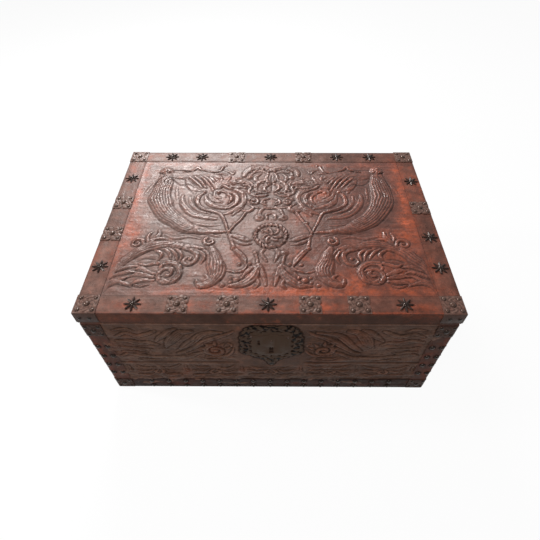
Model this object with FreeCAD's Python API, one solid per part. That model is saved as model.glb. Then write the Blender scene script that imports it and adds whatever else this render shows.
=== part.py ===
import FreeCAD, Part

import math
import os

V = FreeCAD.Vector

# Leather covered trunk. Millimetres, +Z up, +X to the right as seen from the front, front towards -Y.
# The origin is the centre of the underside.

# whole trunk
lid_width = 780.0
lid_depth = 555.0
trunk_height = 328.0
lid_height = 34.0
lid_overhang = 0.6

# boards
wall_board = 16.0
floor_board = 14.0
top_board = 14.0
rim_width = 27.0
plank_joint = 0.2
plank_share = 1 / 3

# leather
leather = 1.8
strap_leather = 1.0
corner_strap_width = 42.0
upright_round = 4.5
round_flats = 3
base_strap_height = 44.0
border_strap_width = 45.0

# iron plates and stars
iron_sheet = 1.2
square_plate = 45.0
plate_notch_share = 0.09
plate_fold = 30.0
corner_plate = 42.0
corner_plate_drop = 8.0
corner_plate_lift = 2.0
star_radius = 18.5
star_shoulder = 12.0
star_valley = 6.5
star_petal_half = 3.4
star_points = 8

# dome nails: foot radius and height
small_nail = 4.5
small_nail_height = 2.6
large_nail = 6.5
large_nail_height = 4.0
star_nail = 5.5
star_nail_height = 3.6
strap_nail = 6.2
strap_nail_height = 3.6
base_nail = 6.2
base_nail_height = 3.8
small_nail_sides = 5
large_nail_sides = 8
nail_crown_share = 0.5
nail_inset_share = 0.24
edge_nail_spacing = 20.0
edge_nail_drop = 16.0
edge_nail_inset = 9.0
base_nail_pitch = 42.5
base_nail_row_shares = (0.21, 0.75)
strap_nail_outer = 9.0
strap_nail_inner = 31.0
strap_row_shares = (0.18, 0.375, 0.57, 0.775)

# places on the lid, as shares of half the lid's width or depth from the middle
front_star_shares = (-0.705, -0.006, 0.699)
front_square_shares = (-0.477, -0.218, 0.212, 0.464)
back_star_shares = (-0.708, -0.494, -0.004, 0.468, 0.701)
back_square_shares = (-0.246, 0.231)
left_star_shares = (-0.559, 0.564)
left_square_shares = (-0.189, 0.211)
right_star_shares = (-0.564, -0.225, 0.526)
right_square_shares = (0.148,)

# hinges
hinge_width = 64.0
hinge_place_share = 0.62
hinge_setback = 1.5
knuckle_radius = 3.5
pin_radius = 1.7
pin_clearance = 0.05
knuckle_count = 3
knuckle_gap = 0.3
knuckle_room = 0.4
leaf_thickness = 1.6
leaf_gap = 0.3
leaf_margin = 1.5
pin_head_radius = 2.8
pin_head_length = 1.2

# end handles
handle_height = 205.0
handle_stand_off = 9.5
eye_spacing = 120.0
eye_thickness = 5.0
eye_wall = 3.0
eye_shank_half = 2.3
eye_shank_depth = 12.0
eye_collar_radius = 6.0
eye_collar_thickness = 1.5
bail_radius = 3.4
bail_clearance = 0.3
bail_arm_inset = 10.0
bail_drop = 46.0
bail_top_bend = 8.0
bail_bottom_bend = 15.0
bail_stub = 6.0
bail_head_radius = 5.0
bail_head_length = 4.0
grip_radius = 5.2
grip_half_length = 26.0
grip_flat_half = 8.0
forged_sides = 8
bend_flats = 3

# lock plate, measured from its own centre
lock_x = 4.0
lock_drop = 90.0
lock_half_width = 69.0
lock_half_height = 78.0
lock_plate_sheet = 1.2
shield_sheet = 0.9
scallop_shares = ((0.22, 0.15), (0.5, 0.21), (0.78, 0.15))
outline_shares = (
    (0.00, 1.00), (0.19, 0.945), (0.43, 0.99), (0.68, 0.94), (0.84, 0.75), (0.925, 0.53), (0.965, 0.28),
    (0.94, 0.05), (0.99, -0.15), (0.94, -0.42), (0.74, -0.49), (0.58, -0.58), (0.40, -0.68), (0.22, -0.77),
    (0.12, -0.90), (0.00, -1.12))
shield_half_width = 39.5
shield_shares = ((0.0, 0.64), (0.26, 0.56), (1.0, 0.56), (1.0, -0.22))
shield_tip_share = -0.47
shield_curve_shares = (0.62, -0.415)
pierce_radius = 3.4
pierce_tail = 9.5
small_pierce_radius = 2.6
small_pierce_tail = 7.2
pierce_sides = 5
pierce_shares = (
    (0.67, 0.47, 75), (0.665, 0.22, 110), (0.665, -0.02, 70), (0.68, -0.245, 250),
    (0.83, 0.50, 300), (0.86, 0.28, 240), (0.83, 0.08, 285), (0.87, -0.13, 215), (0.86, -0.335, 60),
    (0.61, 0.70, 150), (0.42, 0.82, 200), (0.20, 0.78, 330),
    (0.52, -0.425, 215), (0.28, -0.545, 200))
small_pierce_shares = ((0.30, 0.69, 0), (0.50, 0.92, 0), (0.72, 0.83, 135), (0.12, -0.70, 240), (0.42, -0.585, 30))
middle_pierce_shares = ((0.86, 270), (-0.585, 90), (-0.86, 90))
keyhole_radius = 5.5
keyhole_below = 9.0
keyhole_drop = 21.0
keyhole_neck_half = 3.6
keyhole_foot_half = 5.4
keyhole_room = 0.6
slit_half_width = 2.8
slit_length = 20.0
slit_beside = 27.5
slit_rise = 14.0
lock_nail = 3.0
lock_nail_height = 2.0
lock_nail_shares = ((-0.63, 0.49), (0.52, 0.48), (0.0, 0.27))

# lock behind the front board, measured from the lock's middle line
lock_sheet = 1.5
case_left = 58.0
case_right = 44.0
case_depth = 24.5
case_top_room = 6.0
case_bottom_drop = 48.0
case_slot_room = 2.0
bolt_thickness = 4.0
bolt_bar_height = 12.0
bolt_bar_top = 20.0
bolt_tail = 52.0
bolt_tip = 13.0
bolt_throw = 14.0
bolt_web_left = 16.0
bolt_web_right = 1.0
bolt_web_drop = 53.0
talon_radius = 5.0
bolt_clearance = 0.2
guide_width = 6.0
guide_wall = 2.0
guide_place = 33.0
stud_radius = 2.0
stud_head_radius = 3.6
stud_head = 1.2
stud_place = 12.0
catch_offset = 20.0
catch_width = 8.0
catch_wire = 2.5
catch_mouth = 7.0
catch_below_bolt = 1.0
catch_plate_half = 18.0
catch_plate_height = 12.0
drill_pin_radius = 1.5

# one overrun for all cuts
over = 5.0

# worked out from the values above
seam = trunk_height - lid_height
lid_x = lid_width / 2
lid_y = lid_depth / 2
strap_x = lid_x - lid_overhang
strap_y = lid_y - lid_overhang
panel_x = strap_x - strap_leather
panel_y = strap_y - strap_leather
board_x = panel_x - leather
board_y = panel_y - leather
inner_x = board_x - wall_board
inner_y = board_y - wall_board
plank_x = lid_x - leather
plank_y = lid_y - leather
rim_inner_x = plank_x - rim_width
rim_inner_y = plank_y - rim_width
panel_top = trunk_height - strap_leather
plank_top = panel_top - leather
plank_bottom = plank_top - top_board
axis_y = strap_y + hinge_setback
knuckle_seat = knuckle_radius + knuckle_room
lock_height = seam - lock_drop
keyhole_height = lock_height - keyhole_below


def save(name, shape):
    shape.exportStep("parts/" + name + ".step")


def box(x0, x1, y0, y1, z0, z1):
    return Part.makeBox(x1 - x0, y1 - y0, z1 - z0, V(x0, y0, z0))


def polygon(points):
    return Part.Face(Part.makePolygon(points + [points[0]]))


def rounded_block(half_x, half_y, radius, z0, z1):
    # a block whose upright corners are rounded in a few flats
    points = []
    for quarter, side, face in ((0, 1, 1), (1, -1, 1), (2, -1, -1), (3, 1, -1)):
        for i in range(round_flats + 1):
            angle = math.pi / 2 * (quarter + i / round_flats)
            x = side * (half_x - radius) + radius * math.cos(angle)
            points.append(V(x, face * (half_y - radius) + radius * math.sin(angle), z0))
    return polygon(points).extrude(V(0, 0, z1 - z0))


def rod(radius, start, end):
    along = end.sub(start)
    return Part.makeCylinder(radius, along.Length, start, along)


def forged_ring(half_flat, sides, middle, across, aside):
    # the corners of a forged bar's section, whose flats lie half_flat from its middle
    radius = half_flat / math.cos(math.pi / sides)
    points = []
    for i in range(sides):
        angle = 2 * math.pi * (i + 1 / 2) / sides
        points.append(middle.add(across * (radius * math.cos(angle))).add(aside * (radius * math.sin(angle))))
    return points


def bar(half_flat, sides, start, end):
    along = end.sub(start)
    across = V(0, 0, 1) if abs(along.z) < along.Length / 2 else V(0, 1, 0)
    aside = along.cross(across).normalize()
    return polygon(forged_ring(half_flat, sides, start, across, aside)).extrude(along)


def flats_between(rings):
    # a solid of flat facets from ring to ring, closed at both ends
    faces = [polygon(rings[0]), polygon(rings[-1])]
    for near, far in zip(rings, rings[1:]):
        for i in range(len(near)):
            j = (i + 1) % len(near)
            faces.append(polygon([near[i], near[j], far[j], far[i]]))
    return Part.Solid(Part.Shell(faces))


def turned(shape, direction):
    # turns a piece that was made facing +Z so that it faces along a direction
    piece = shape.copy()
    piece.Placement = FreeCAD.Placement(V(0, 0, 0), FreeCAD.Rotation(V(0, 0, 1), direction))
    return piece


def placed(shape, place):
    piece = shape.copy()
    piece.translate(place)
    return piece


def ring_points(radius, height, sides):
    step = 2 * math.pi / sides
    return [V(radius * math.cos(step * i), radius * math.sin(step * i), height) for i in range(sides)]


def dome_nail(radius, height, sides):
    # a forged nail's head: facets that rise from its foot to a flat crown
    return flats_between([ring_points(radius, 0, sides), ring_points(radius * nail_crown_share, height, sides)])


# trunk body

def build_boards():
    front = box(-board_x, board_x, -board_y, -inner_y, 0, seam)
    front = front.cut(keyhole(keyhole_room, -board_y - over, -inner_y + over))
    back = box(-board_x, board_x, inner_y, board_y, 0, seam)
    for x in hinge_places():
        back = back.cut(leaf_pocket(x, -1))
    save("front_board", front)
    save("back_board", back)
    end = box(inner_x, board_x, -inner_y, inner_y, 0, seam)
    for side, name in ((-1, "left_board"), (1, "right_board")):
        board = end if side > 0 else end.mirror(V(0, 0, 0), V(1, 0, 0))
        for y in (-eye_spacing / 2, eye_spacing / 2):
            board = board.cut(staple_shank(side, y, board_x))
        save(name, board)
    save("bottom_board", box(-inner_x, inner_x, -inner_y, inner_y, 0, floor_board))


def build_body_leather():
    hide = rounded_block(panel_x, panel_y, upright_round - strap_leather, 0, seam)
    front = box(-panel_x, panel_x, -panel_y, -board_y, 0, seam).common(hide)
    save("leather_front", front.cut(keyhole(keyhole_room, -panel_y - over, -board_y + over)))
    back = box(-panel_x, panel_x, board_y, panel_y, 0, seam).common(hide)
    for x in hinge_places():
        back = back.cut(knuckle_room_in_body(x)).cut(leaf_pocket(x, -1))
    save("leather_back", back)
    for side, name in ((-1, "leather_left"), (1, "leather_right")):
        low = min(side * board_x, side * panel_x)
        panel = box(low, low + leather, -board_y, board_y, 0, seam).common(hide)
        for y in (-eye_spacing / 2, eye_spacing / 2):
            panel = panel.cut(staple_shank(side, y, panel_x))
        save(name, panel)


def corner_angle(under, sheet, leg, z0, z1):
    # a sheet folded round the rounded corner at +x, +y, over a layer of the given thickness on the hide
    outer_x = panel_x + under + sheet
    outer_y = panel_y + under + sheet
    radius = upright_round - strap_leather + under
    skin = rounded_block(outer_x, outer_y, radius + sheet, z0, z1)
    skin = skin.cut(rounded_block(outer_x - sheet, outer_y - sheet, radius, z0, z1))
    return skin.common(box(outer_x - sheet - leg, outer_x, outer_y - sheet - leg, outer_y, z0, z1))


def four_corners(shape):
    right_back = shape
    left_back = shape.mirror(V(0, 0, 0), V(1, 0, 0))
    right_front = shape.mirror(V(0, 0, 0), V(0, 1, 0))
    left_front = right_front.mirror(V(0, 0, 0), V(1, 0, 0))
    return {"front_left": left_front, "front_right": right_front, "back_left": left_back, "back_right": right_back}


def build_body_straps():
    strap = corner_angle(0, strap_leather, corner_strap_width - strap_leather, 0, seam)
    for corner, shape in four_corners(strap).items():
        save("corner_strap_" + corner, shape)
    run_x = strap_x - corner_strap_width
    run_y = strap_y - corner_strap_width
    save("base_strap_front", box(-run_x, run_x, -strap_y, -panel_y, 0, base_strap_height))
    save("base_strap_back", box(-run_x, run_x, panel_y, strap_y, 0, base_strap_height))
    save("base_strap_left", box(-strap_x, -panel_x, -run_y, run_y, 0, base_strap_height))
    save("base_strap_right", box(panel_x, strap_x, -run_y, run_y, 0, base_strap_height))


def corner_plate_levels():
    top = seam - corner_plate_drop
    return (corner_plate_lift, top - corner_plate)


def build_body_plates():
    for name, level in zip(("corner_plates_base", "corner_plates_top"), corner_plate_levels()):
        plate = corner_angle(strap_leather, iron_sheet, corner_plate, level, level + corner_plate)
        save(name, Part.makeCompound(list(four_corners(plate).values())))


def face_nails(nail, offsets, heights, stand):
    # sets a nail on all four upright faces, at places given from the corner edges inwards
    nails = []
    for offset in offsets:
        for height in heights:
            for side in (-1, 1):
                for face in (-1, 1):
                    x_nail = V(side * (strap_x - offset), face * (strap_y + stand), height)
                    y_nail = V(side * (strap_x + stand), face * (strap_y - offset), height)
                    nails.append(placed(turned(nail, V(0, face, 0)), x_nail))
                    nails.append(placed(turned(nail, V(side, 0, 0)), y_nail))
    return nails


def build_body_nails():
    low, high = corner_plate_levels()
    span = high - (low + corner_plate)
    rows = [low + corner_plate + span * share for share in strap_row_shares]
    head = dome_nail(strap_nail, strap_nail_height, small_nail_sides)
    save("strap_nails", Part.makeCompound(face_nails(head, (strap_nail_outer, strap_nail_inner), rows, 0)))

    small = dome_nail(small_nail, small_nail_height, small_nail_sides)
    inset = corner_plate * nail_inset_share / 2 + small_nail / 2
    plate_nails = []
    for level in (low, high):
        edges = (inset, corner_plate - inset)
        heights = (level + inset, level + corner_plate - inset)
        plate_nails += face_nails(small, edges, heights, iron_sheet)
        plate_nails += face_nails(head, (corner_plate / 2,), (level + corner_plate / 2,), iron_sheet)
    save("corner_plate_nails", Part.makeCompound(plate_nails))

    nail = dome_nail(base_nail, base_nail_height, small_nail_sides)
    nails = []
    for share in base_nail_row_shares:
        height = base_strap_height * share
        for x in row_of_nails(strap_x):
            for face in (-1, 1):
                nails.append(placed(turned(nail, V(0, face, 0)), V(x, face * strap_y, height)))
        for y in row_of_nails(strap_y):
            for side in (-1, 1):
                nails.append(placed(turned(nail, V(side, 0, 0)), V(side * strap_x, y, height)))
    save("base_nails", Part.makeCompound(nails))


def row_of_nails(half_length):
    room = 2 * (half_length - corner_plate) - base_nail_pitch
    count = int(room / base_nail_pitch)
    if count % 2 == 0 and half_length == strap_x:
        count -= 1
    first = -(count - 1) * base_nail_pitch / 2
    return [first + i * base_nail_pitch for i in range(count)]


# hinges

def hinge_places():
    return (-hinge_place_share * lid_x, hinge_place_share * lid_x)


def leaf_pocket(x, side):
    # the shallow pocket that a hinge leaf lies in, below the seam for side -1 and above it for side 1
    depth = leaf_thickness + leaf_gap / 2
    z0 = seam - depth if side < 0 else seam
    return box(x - hinge_width / 2, x + hinge_width / 2, inner_y + leaf_margin, axis_y, z0, z0 + depth)


def knuckle_room_in_body(x):
    half = hinge_width / 2 + pin_head_length + knuckle_gap
    return box(x - half, x + half, axis_y - knuckle_seat, axis_y, seam - knuckle_seat, seam)


def knuckle_room_in_lid(x):
    half = hinge_width / 2 + pin_head_length + knuckle_gap
    return box(x - half, x + half, axis_y - knuckle_seat, lid_y + over, seam, seam + knuckle_seat)


def hinge_leaf(x, side):
    # side -1 is the body's leaf with the odd knuckles, side 1 the lid's leaf with the even ones
    near = seam + side * leaf_gap / 2
    far = near + side * leaf_thickness
    z0, z1 = min(near, far), max(near, far)
    plate_end = axis_y - knuckle_seat
    leaf = box(x - hinge_width / 2, x + hinge_width / 2, inner_y + leaf_margin, plate_end, z0, z1)
    length = (hinge_width - (knuckle_count - 1) * knuckle_gap) / knuckle_count
    first = 0 if side < 0 else 1
    for i in range(first, knuckle_count, 2):
        x0 = x - hinge_width / 2 + i * (length + knuckle_gap)
        barrel = rod(knuckle_radius, V(x0, axis_y, seam), V(x0 + length, axis_y, seam))
        arm = box(x0, x0 + length, plate_end, axis_y, z0, z1)
        leaf = leaf.fuse([barrel, arm])
    bore = rod(pin_radius + pin_clearance, V(x - hinge_width, axis_y, seam), V(x + hinge_width, axis_y, seam))
    return leaf.cut(bore).removeSplitter()


def build_hinges():
    for x, name in zip(hinge_places(), ("left", "right")):
        save("hinge_leaf_body_" + name, hinge_leaf(x, -1))
        save("hinge_leaf_lid_" + name, hinge_leaf(x, 1))
        half = hinge_width / 2
        pin = rod(pin_radius, V(x - half, axis_y, seam), V(x + half, axis_y, seam))
        for side in (-1, 1):
            head_start = V(x + side * half, axis_y, seam)
            head_end = V(x + side * (half + pin_head_length), axis_y, seam)
            pin = pin.fuse(bar(pin_head_radius, forged_sides, head_start, head_end))
        save("hinge_pin_" + name, pin.removeSplitter())


# lid

def build_lid_wood():
    width = 2 * plank_y * plank_share
    ends = ("front", "middle", "back")
    for i, name in enumerate(ends):
        y0 = -plank_y + i * width
        y1 = y0 + width - (plank_joint if name != "back" else 0)
        save("lid_plank_" + name, box(-plank_x, plank_x, y0, y1, plank_bottom, plank_top))
    back = box(-plank_x, plank_x, rim_inner_y, plank_y, seam, plank_bottom)
    for x in hinge_places():
        back = back.cut(knuckle_room_in_lid(x)).cut(leaf_pocket(x, 1))
    save("lid_rim_back", back)
    save("lid_rim_front", box(-plank_x, plank_x, -plank_y, -rim_inner_y, seam, plank_bottom))
    save("lid_rim_left", box(-plank_x, -rim_inner_x, -rim_inner_y, rim_inner_y, seam, plank_bottom))
    save("lid_rim_right", box(rim_inner_x, plank_x, -rim_inner_y, rim_inner_y, seam, plank_bottom))


def build_lid_leather():
    save("lid_leather_top", box(-plank_x, plank_x, -plank_y, plank_y, plank_top, panel_top))
    outer = box(-lid_x, lid_x, -lid_y, lid_y, seam, panel_top)
    band = outer.cut(box(-plank_x, plank_x, -plank_y, plank_y, seam - over, panel_top + over))
    for x in hinge_places():
        band = band.cut(knuckle_room_in_lid(x))
    save("lid_edge_band", band)
    run_y = lid_y - border_strap_width
    strap_edge = lid_x - border_strap_width
    save("border_strap_front", box(-lid_x, lid_x, -lid_y, -run_y, panel_top, trunk_height))
    save("border_strap_back", box(-lid_x, lid_x, run_y, lid_y, panel_top, trunk_height))
    save("border_strap_left", box(-lid_x, -strap_edge, -run_y, run_y, panel_top, trunk_height))
    save("border_strap_right", box(strap_edge, lid_x, -run_y, run_y, panel_top, trunk_height))


def lid_places():
    row = lid_y - border_strap_width / 2
    column = lid_x - border_strap_width / 2
    stars = [(lid_x * share, -row) for share in front_star_shares]
    stars += [(lid_x * share, row) for share in back_star_shares]
    stars += [(-column, lid_y * share) for share in left_star_shares]
    stars += [(column, lid_y * share) for share in right_star_shares]
    squares = [(lid_x * share, -row) for share in front_square_shares]
    squares += [(lid_x * share, row) for share in back_square_shares]
    squares += [(-column, lid_y * share) for share in left_square_shares]
    squares += [(column, lid_y * share) for share in right_square_shares]
    corners = [(side * column, face * row) for side in (-1, 1) for face in (-1, 1)]
    return stars, squares, corners


def star():
    points = []
    step = 2 * math.pi / star_points
    shoulder_turn = math.atan2(star_petal_half, star_shoulder)
    shoulder = math.hypot(star_petal_half, star_shoulder)
    for i in range(star_points):
        for radius, turn in ((star_valley, -step / 2), (shoulder, -shoulder_turn), (star_radius, 0),
                             (shoulder, shoulder_turn)):
            angle = i * step + turn
            points.append(V(radius * math.cos(angle), radius * math.sin(angle), 0))
    return polygon(points).extrude(V(0, 0, iron_sheet))


def notched_square(size):
    # a square plate whose sides are nicked at the middle, as cut with a chisel
    half = size / 2
    nick = size * plate_notch_share
    points = []
    for i in range(4):
        turn = FreeCAD.Rotation(V(0, 0, 1), 90 * i)
        for x, y in ((-half, -half), (-nick, -half), (0, nick - half), (nick, -half)):
            points.append(turn.multVec(V(x, y, 0)))
    return polygon(points).extrude(V(0, 0, iron_sheet))


def lid_corner_plate():
    # lies on the lid's corner at +x, +y and folds down over both edges
    x0 = lid_x - border_strap_width
    y0 = lid_y - border_strap_width
    top = trunk_height + iron_sheet
    low = trunk_height - plate_fold
    x1 = lid_x + iron_sheet
    y1 = lid_y + iron_sheet
    flat = box(x0, x1, y0, y1, trunk_height, top)
    folds = [box(x0, x1, lid_y, y1, low, top), box(lid_x, x1, y0, y1, low, top)]
    return flat.fuse(folds).removeSplitter()


def build_lid_iron():
    stars, squares, corners = lid_places()
    save("lid_stars", Part.makeCompound([placed(star(), V(x, y, trunk_height)) for x, y in stars]))
    plate = notched_square(square_plate)
    save("lid_square_plates", Part.makeCompound([placed(plate, V(x, y, trunk_height)) for x, y in squares]))
    save("lid_corner_plates", Part.makeCompound(list(four_corners(lid_corner_plate()).values())))

    on_plate = trunk_height + iron_sheet
    star_head = dome_nail(star_nail, star_nail_height, large_nail_sides)
    save("star_nails", Part.makeCompound([placed(star_head, V(x, y, on_plate)) for x, y in stars]))
    large = dome_nail(large_nail, large_nail_height, large_nail_sides)
    save("plate_centre_nails", Part.makeCompound([placed(large, V(x, y, on_plate)) for x, y in squares + corners]))
    small = dome_nail(small_nail, small_nail_height, small_nail_sides)
    step = square_plate / 2 - square_plate * nail_inset_share / 2 - small_nail / 2
    nails = []
    for x, y in squares + corners:
        for side in (-1, 1):
            for face in (-1, 1):
                nails.append(placed(small, V(x + side * step, y + face * step, on_plate)))
    save("plate_corner_nails", Part.makeCompound(nails))

    edge_nails = []
    height = trunk_height - edge_nail_drop
    for offset in (edge_nail_inset, edge_nail_inset + edge_nail_spacing):
        for side in (-1, 1):
            for face in (-1, 1):
                on_face = V(side * (lid_x - offset), face * (lid_y + iron_sheet), height)
                on_end = V(side * (lid_x + iron_sheet), face * (lid_y - offset), height)
                edge_nails.append(placed(turned(small, V(0, face, 0)), on_face))
                edge_nails.append(placed(turned(small, V(side, 0, 0)), on_end))
    save("lid_edge_nails", Part.makeCompound(edge_nails))


# end handles

def handle_axis(side):
    return side * (panel_x + handle_stand_off)


def staple_shank(side, y, reach):
    # the staple's square shank, from its point inside the board out to a distance from the middle of the trunk
    inside = V(side * (panel_x - eye_shank_depth), y, handle_height)
    return bar(eye_shank_half, 4, inside, V(side * reach, y, handle_height))


def handle_staple(side, y):
    x = handle_axis(side)
    bore_radius = bail_radius + bail_clearance
    half = eye_thickness / 2
    ring_start = V(x, y - half, handle_height)
    ring_end = V(x, y + half, handle_height)
    ring = bar(bore_radius + eye_wall, forged_sides, ring_start, ring_end)
    collar_start = V(side * panel_x, y, handle_height)
    collar_end = V(side * (panel_x + eye_collar_thickness), y, handle_height)
    collar = bar(eye_collar_radius, forged_sides, collar_start, collar_end)
    staple = ring.fuse([staple_shank(side, y, abs(x)), collar])
    return staple.cut(rod(bore_radius, ring_start, ring_end)).removeSplitter()


def quarter_bend(centre, arm, axis):
    # a quarter turn hammered in a few flats: arm goes from the bend's centre to the middle of its first end
    across = V(arm).normalize()
    aside = V(axis).normalize()
    rings = []
    for i in range(bend_flats + 1):
        turn = FreeCAD.Rotation(axis, 90 * i / bend_flats)
        middle = centre.add(turn.multVec(arm))
        rings.append(forged_ring(bail_radius, forged_sides, middle, turn.multVec(across), aside))
    return flats_between(rings)


def grip(x, low):
    # the grip swells towards its middle
    rings = []
    for y, radius in ((-grip_half_length, bail_radius), (-grip_flat_half, grip_radius), (grip_flat_half, grip_radius),
                      (grip_half_length, bail_radius)):
        rings.append(forged_ring(radius, forged_sides, V(x, y, low), V(0, 0, 1), V(1, 0, 0)))
    return flats_between(rings)


def bail(side):
    x = handle_axis(side)
    out = eye_spacing / 2 + eye_thickness / 2 + bail_stub
    arm = eye_spacing / 2 - bail_arm_inset
    low = handle_height - bail_drop
    arm_top = handle_height - bail_top_bend
    grip_end = arm - bail_bottom_bend
    handle = bar(bail_radius, forged_sides, V(x, -grip_end, low), V(x, grip_end, low))
    pieces = [grip(x, low)]
    for end in (-1, 1):
        low_centre = V(x, end * grip_end, low + bail_bottom_bend)
        pieces.append(quarter_bend(low_centre, V(0, 0, -bail_bottom_bend), V(end, 0, 0)))
        pieces.append(bar(bail_radius, forged_sides, V(x, end * arm, low + bail_bottom_bend), V(x, end * arm, arm_top)))
        top_centre = V(x, end * (arm + bail_top_bend), arm_top)
        pieces.append(quarter_bend(top_centre, V(0, 0, bail_top_bend), V(end, 0, 0)))
        stub_start = V(x, end * (arm + bail_top_bend), handle_height)
        stub_end = V(x, end * out, handle_height)
        pieces.append(rod(bail_radius, stub_start, stub_end))
        pieces.append(bar(bail_head_radius, forged_sides, stub_end, V(x, end * (out + bail_head_length), handle_height)))
    return handle.fuse(pieces).removeSplitter()


def build_handles():
    for side, name in ((-1, "left"), (1, "right")):
        eyes = [handle_staple(side, y) for y in (-eye_spacing / 2, eye_spacing / 2)]
        save("handle_staples_" + name, Part.makeCompound(eyes))
        save("handle_" + name, bail(side))


# lock plate

def keyhole(room, y0, y1):
    # round at the top for the key's shank, with a neck and a wider foot for its bit
    radius = keyhole_radius + room
    x, z = lock_x, keyhole_height
    neck = keyhole_neck_half + room
    foot = keyhole_foot_half + room
    low = z - keyhole_drop - room
    round_top = rod(radius, V(x, y0, z), V(x, y1, z))
    outline = [V(x - neck, y0, z), V(x - foot, y0, low), V(x + foot, y0, low), V(x + neck, y0, z)]
    return round_top.fuse(polygon(outline).extrude(V(0, y1 - y0, 0))).removeSplitter()


def plate_point(share_x, share_z, y):
    return V(lock_x + lock_half_width * share_x, y, lock_height + lock_half_height * share_z)


def scalloped_outline(y):
    # filed scallops that bulge outwards between the outline's points, the left half mirrored from the right
    right = [plate_point(u, v, y) for u, v in outline_shares]
    left = [plate_point(-u, v, y) for u, v in outline_shares[1:-1]]
    corners = right + left[::-1]
    centre = plate_point(0, 0, y)
    points = []
    for start, end in zip(corners, corners[1:] + corners[:1]):
        chord = end.sub(start)
        outwards = V(-chord.z, 0, chord.x).normalize()
        if outwards.dot(start.add(end) * (1 / 2) - centre) < 0:
            outwards = outwards.negative()
        points.append(start)
        for along_share, out_share in scallop_shares:
            points.append(start.add(chord * along_share).add(outwards * (chord.Length * out_share)))
    return polygon(points)


def teardrop(place, radius, tail, angle):
    # a hole drawn out to a point, the shape that a drill and a chisel leave
    turn = math.radians(angle)
    spread = math.acos(radius / tail)
    points = [place.add(V(tail * math.cos(turn), 0, tail * math.sin(turn)))]
    for i in range(pierce_sides):
        around = turn + spread + (2 * math.pi - 2 * spread) * i / (pierce_sides - 1)
        points.append(place.add(V(radius * math.cos(around), 0, radius * math.sin(around))))
    return polygon(points)


def piercings(y):
    holes = []
    sets = ((pierce_shares, pierce_radius, pierce_tail), (small_pierce_shares, small_pierce_radius, small_pierce_tail))
    for shares, radius, tail in sets:
        for u, v, angle in shares:
            holes.append(teardrop(plate_point(u, v, y), radius, tail, angle))
            holes.append(teardrop(plate_point(-u, v, y), radius, tail, 180 - angle))
    for v, angle in middle_pierce_shares:
        holes.append(teardrop(plate_point(0, v, y), small_pierce_radius, small_pierce_tail, angle))
    return holes


def shield_outline(y):
    right = [V(lock_x + shield_half_width * u, y, lock_height + lock_half_height * v) for u, v in shield_shares]
    left = [V(lock_x - shield_half_width * u, y, lock_height + lock_half_height * v) for u, v in shield_shares[1:]]
    tip = V(lock_x, y, lock_height + lock_half_height * shield_tip_share)
    u, v = shield_curve_shares
    via_z = lock_height + lock_half_height * v
    edges = [Part.LineSegment(a, b).toShape() for a, b in zip(right, right[1:])]
    edges.append(Part.Arc(right[-1], V(lock_x + shield_half_width * u, y, via_z), tip).toShape())
    edges.append(Part.Arc(tip, V(lock_x - shield_half_width * u, y, via_z), left[-1]).toShape())
    corners = left[::-1] + [right[0]]
    edges += [Part.LineSegment(a, b).toShape() for a, b in zip(corners, corners[1:])]
    return Part.Face(Part.Wire(edges))


def build_lock_plate():
    face = -panel_y
    scrolls = scalloped_outline(face).extrude(V(0, -lock_plate_sheet, 0))
    cutters = [hole.extrude(V(0, -lock_plate_sheet - 2 * over, 0)) for hole in piercings(face + over)]
    scrolls = scrolls.cut(cutters)
    shield = shield_outline(face).extrude(V(0, -lock_plate_sheet - shield_sheet, 0))
    plate = scrolls.fuse(shield).cut(keyhole(0, face - over, face + over))
    slit_x = lock_x - slit_beside
    slit_z = lock_height + slit_rise
    slit = box(slit_x - slit_half_width, slit_x + slit_half_width, face - over, face + over,
               slit_z - slit_length / 2, slit_z + slit_length / 2)
    save("lock_plate", plate.cut(slit).removeSplitter())
    nail = turned(dome_nail(lock_nail, lock_nail_height, large_nail_sides), V(0, -1, 0))
    nails = []
    for u, v in lock_nail_shares:
        on_shield = abs(lock_half_width * u) < shield_half_width
        stand = lock_plate_sheet + (shield_sheet if on_shield else 0)
        nails.append(placed(nail, plate_point(u, v, face - stand)))
    save("lock_plate_nails", Part.makeCompound(nails))


# lock behind the front board

def bolt_levels():
    bar_top = seam - bolt_bar_top
    return bar_top - bolt_bar_height, bar_top


def bolt_faces():
    # the bolt's front and back faces, midway in the catch's mouth
    middle = -rim_inner_y + catch_wire + catch_mouth / 2
    return middle - bolt_thickness / 2, middle + bolt_thickness / 2


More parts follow.
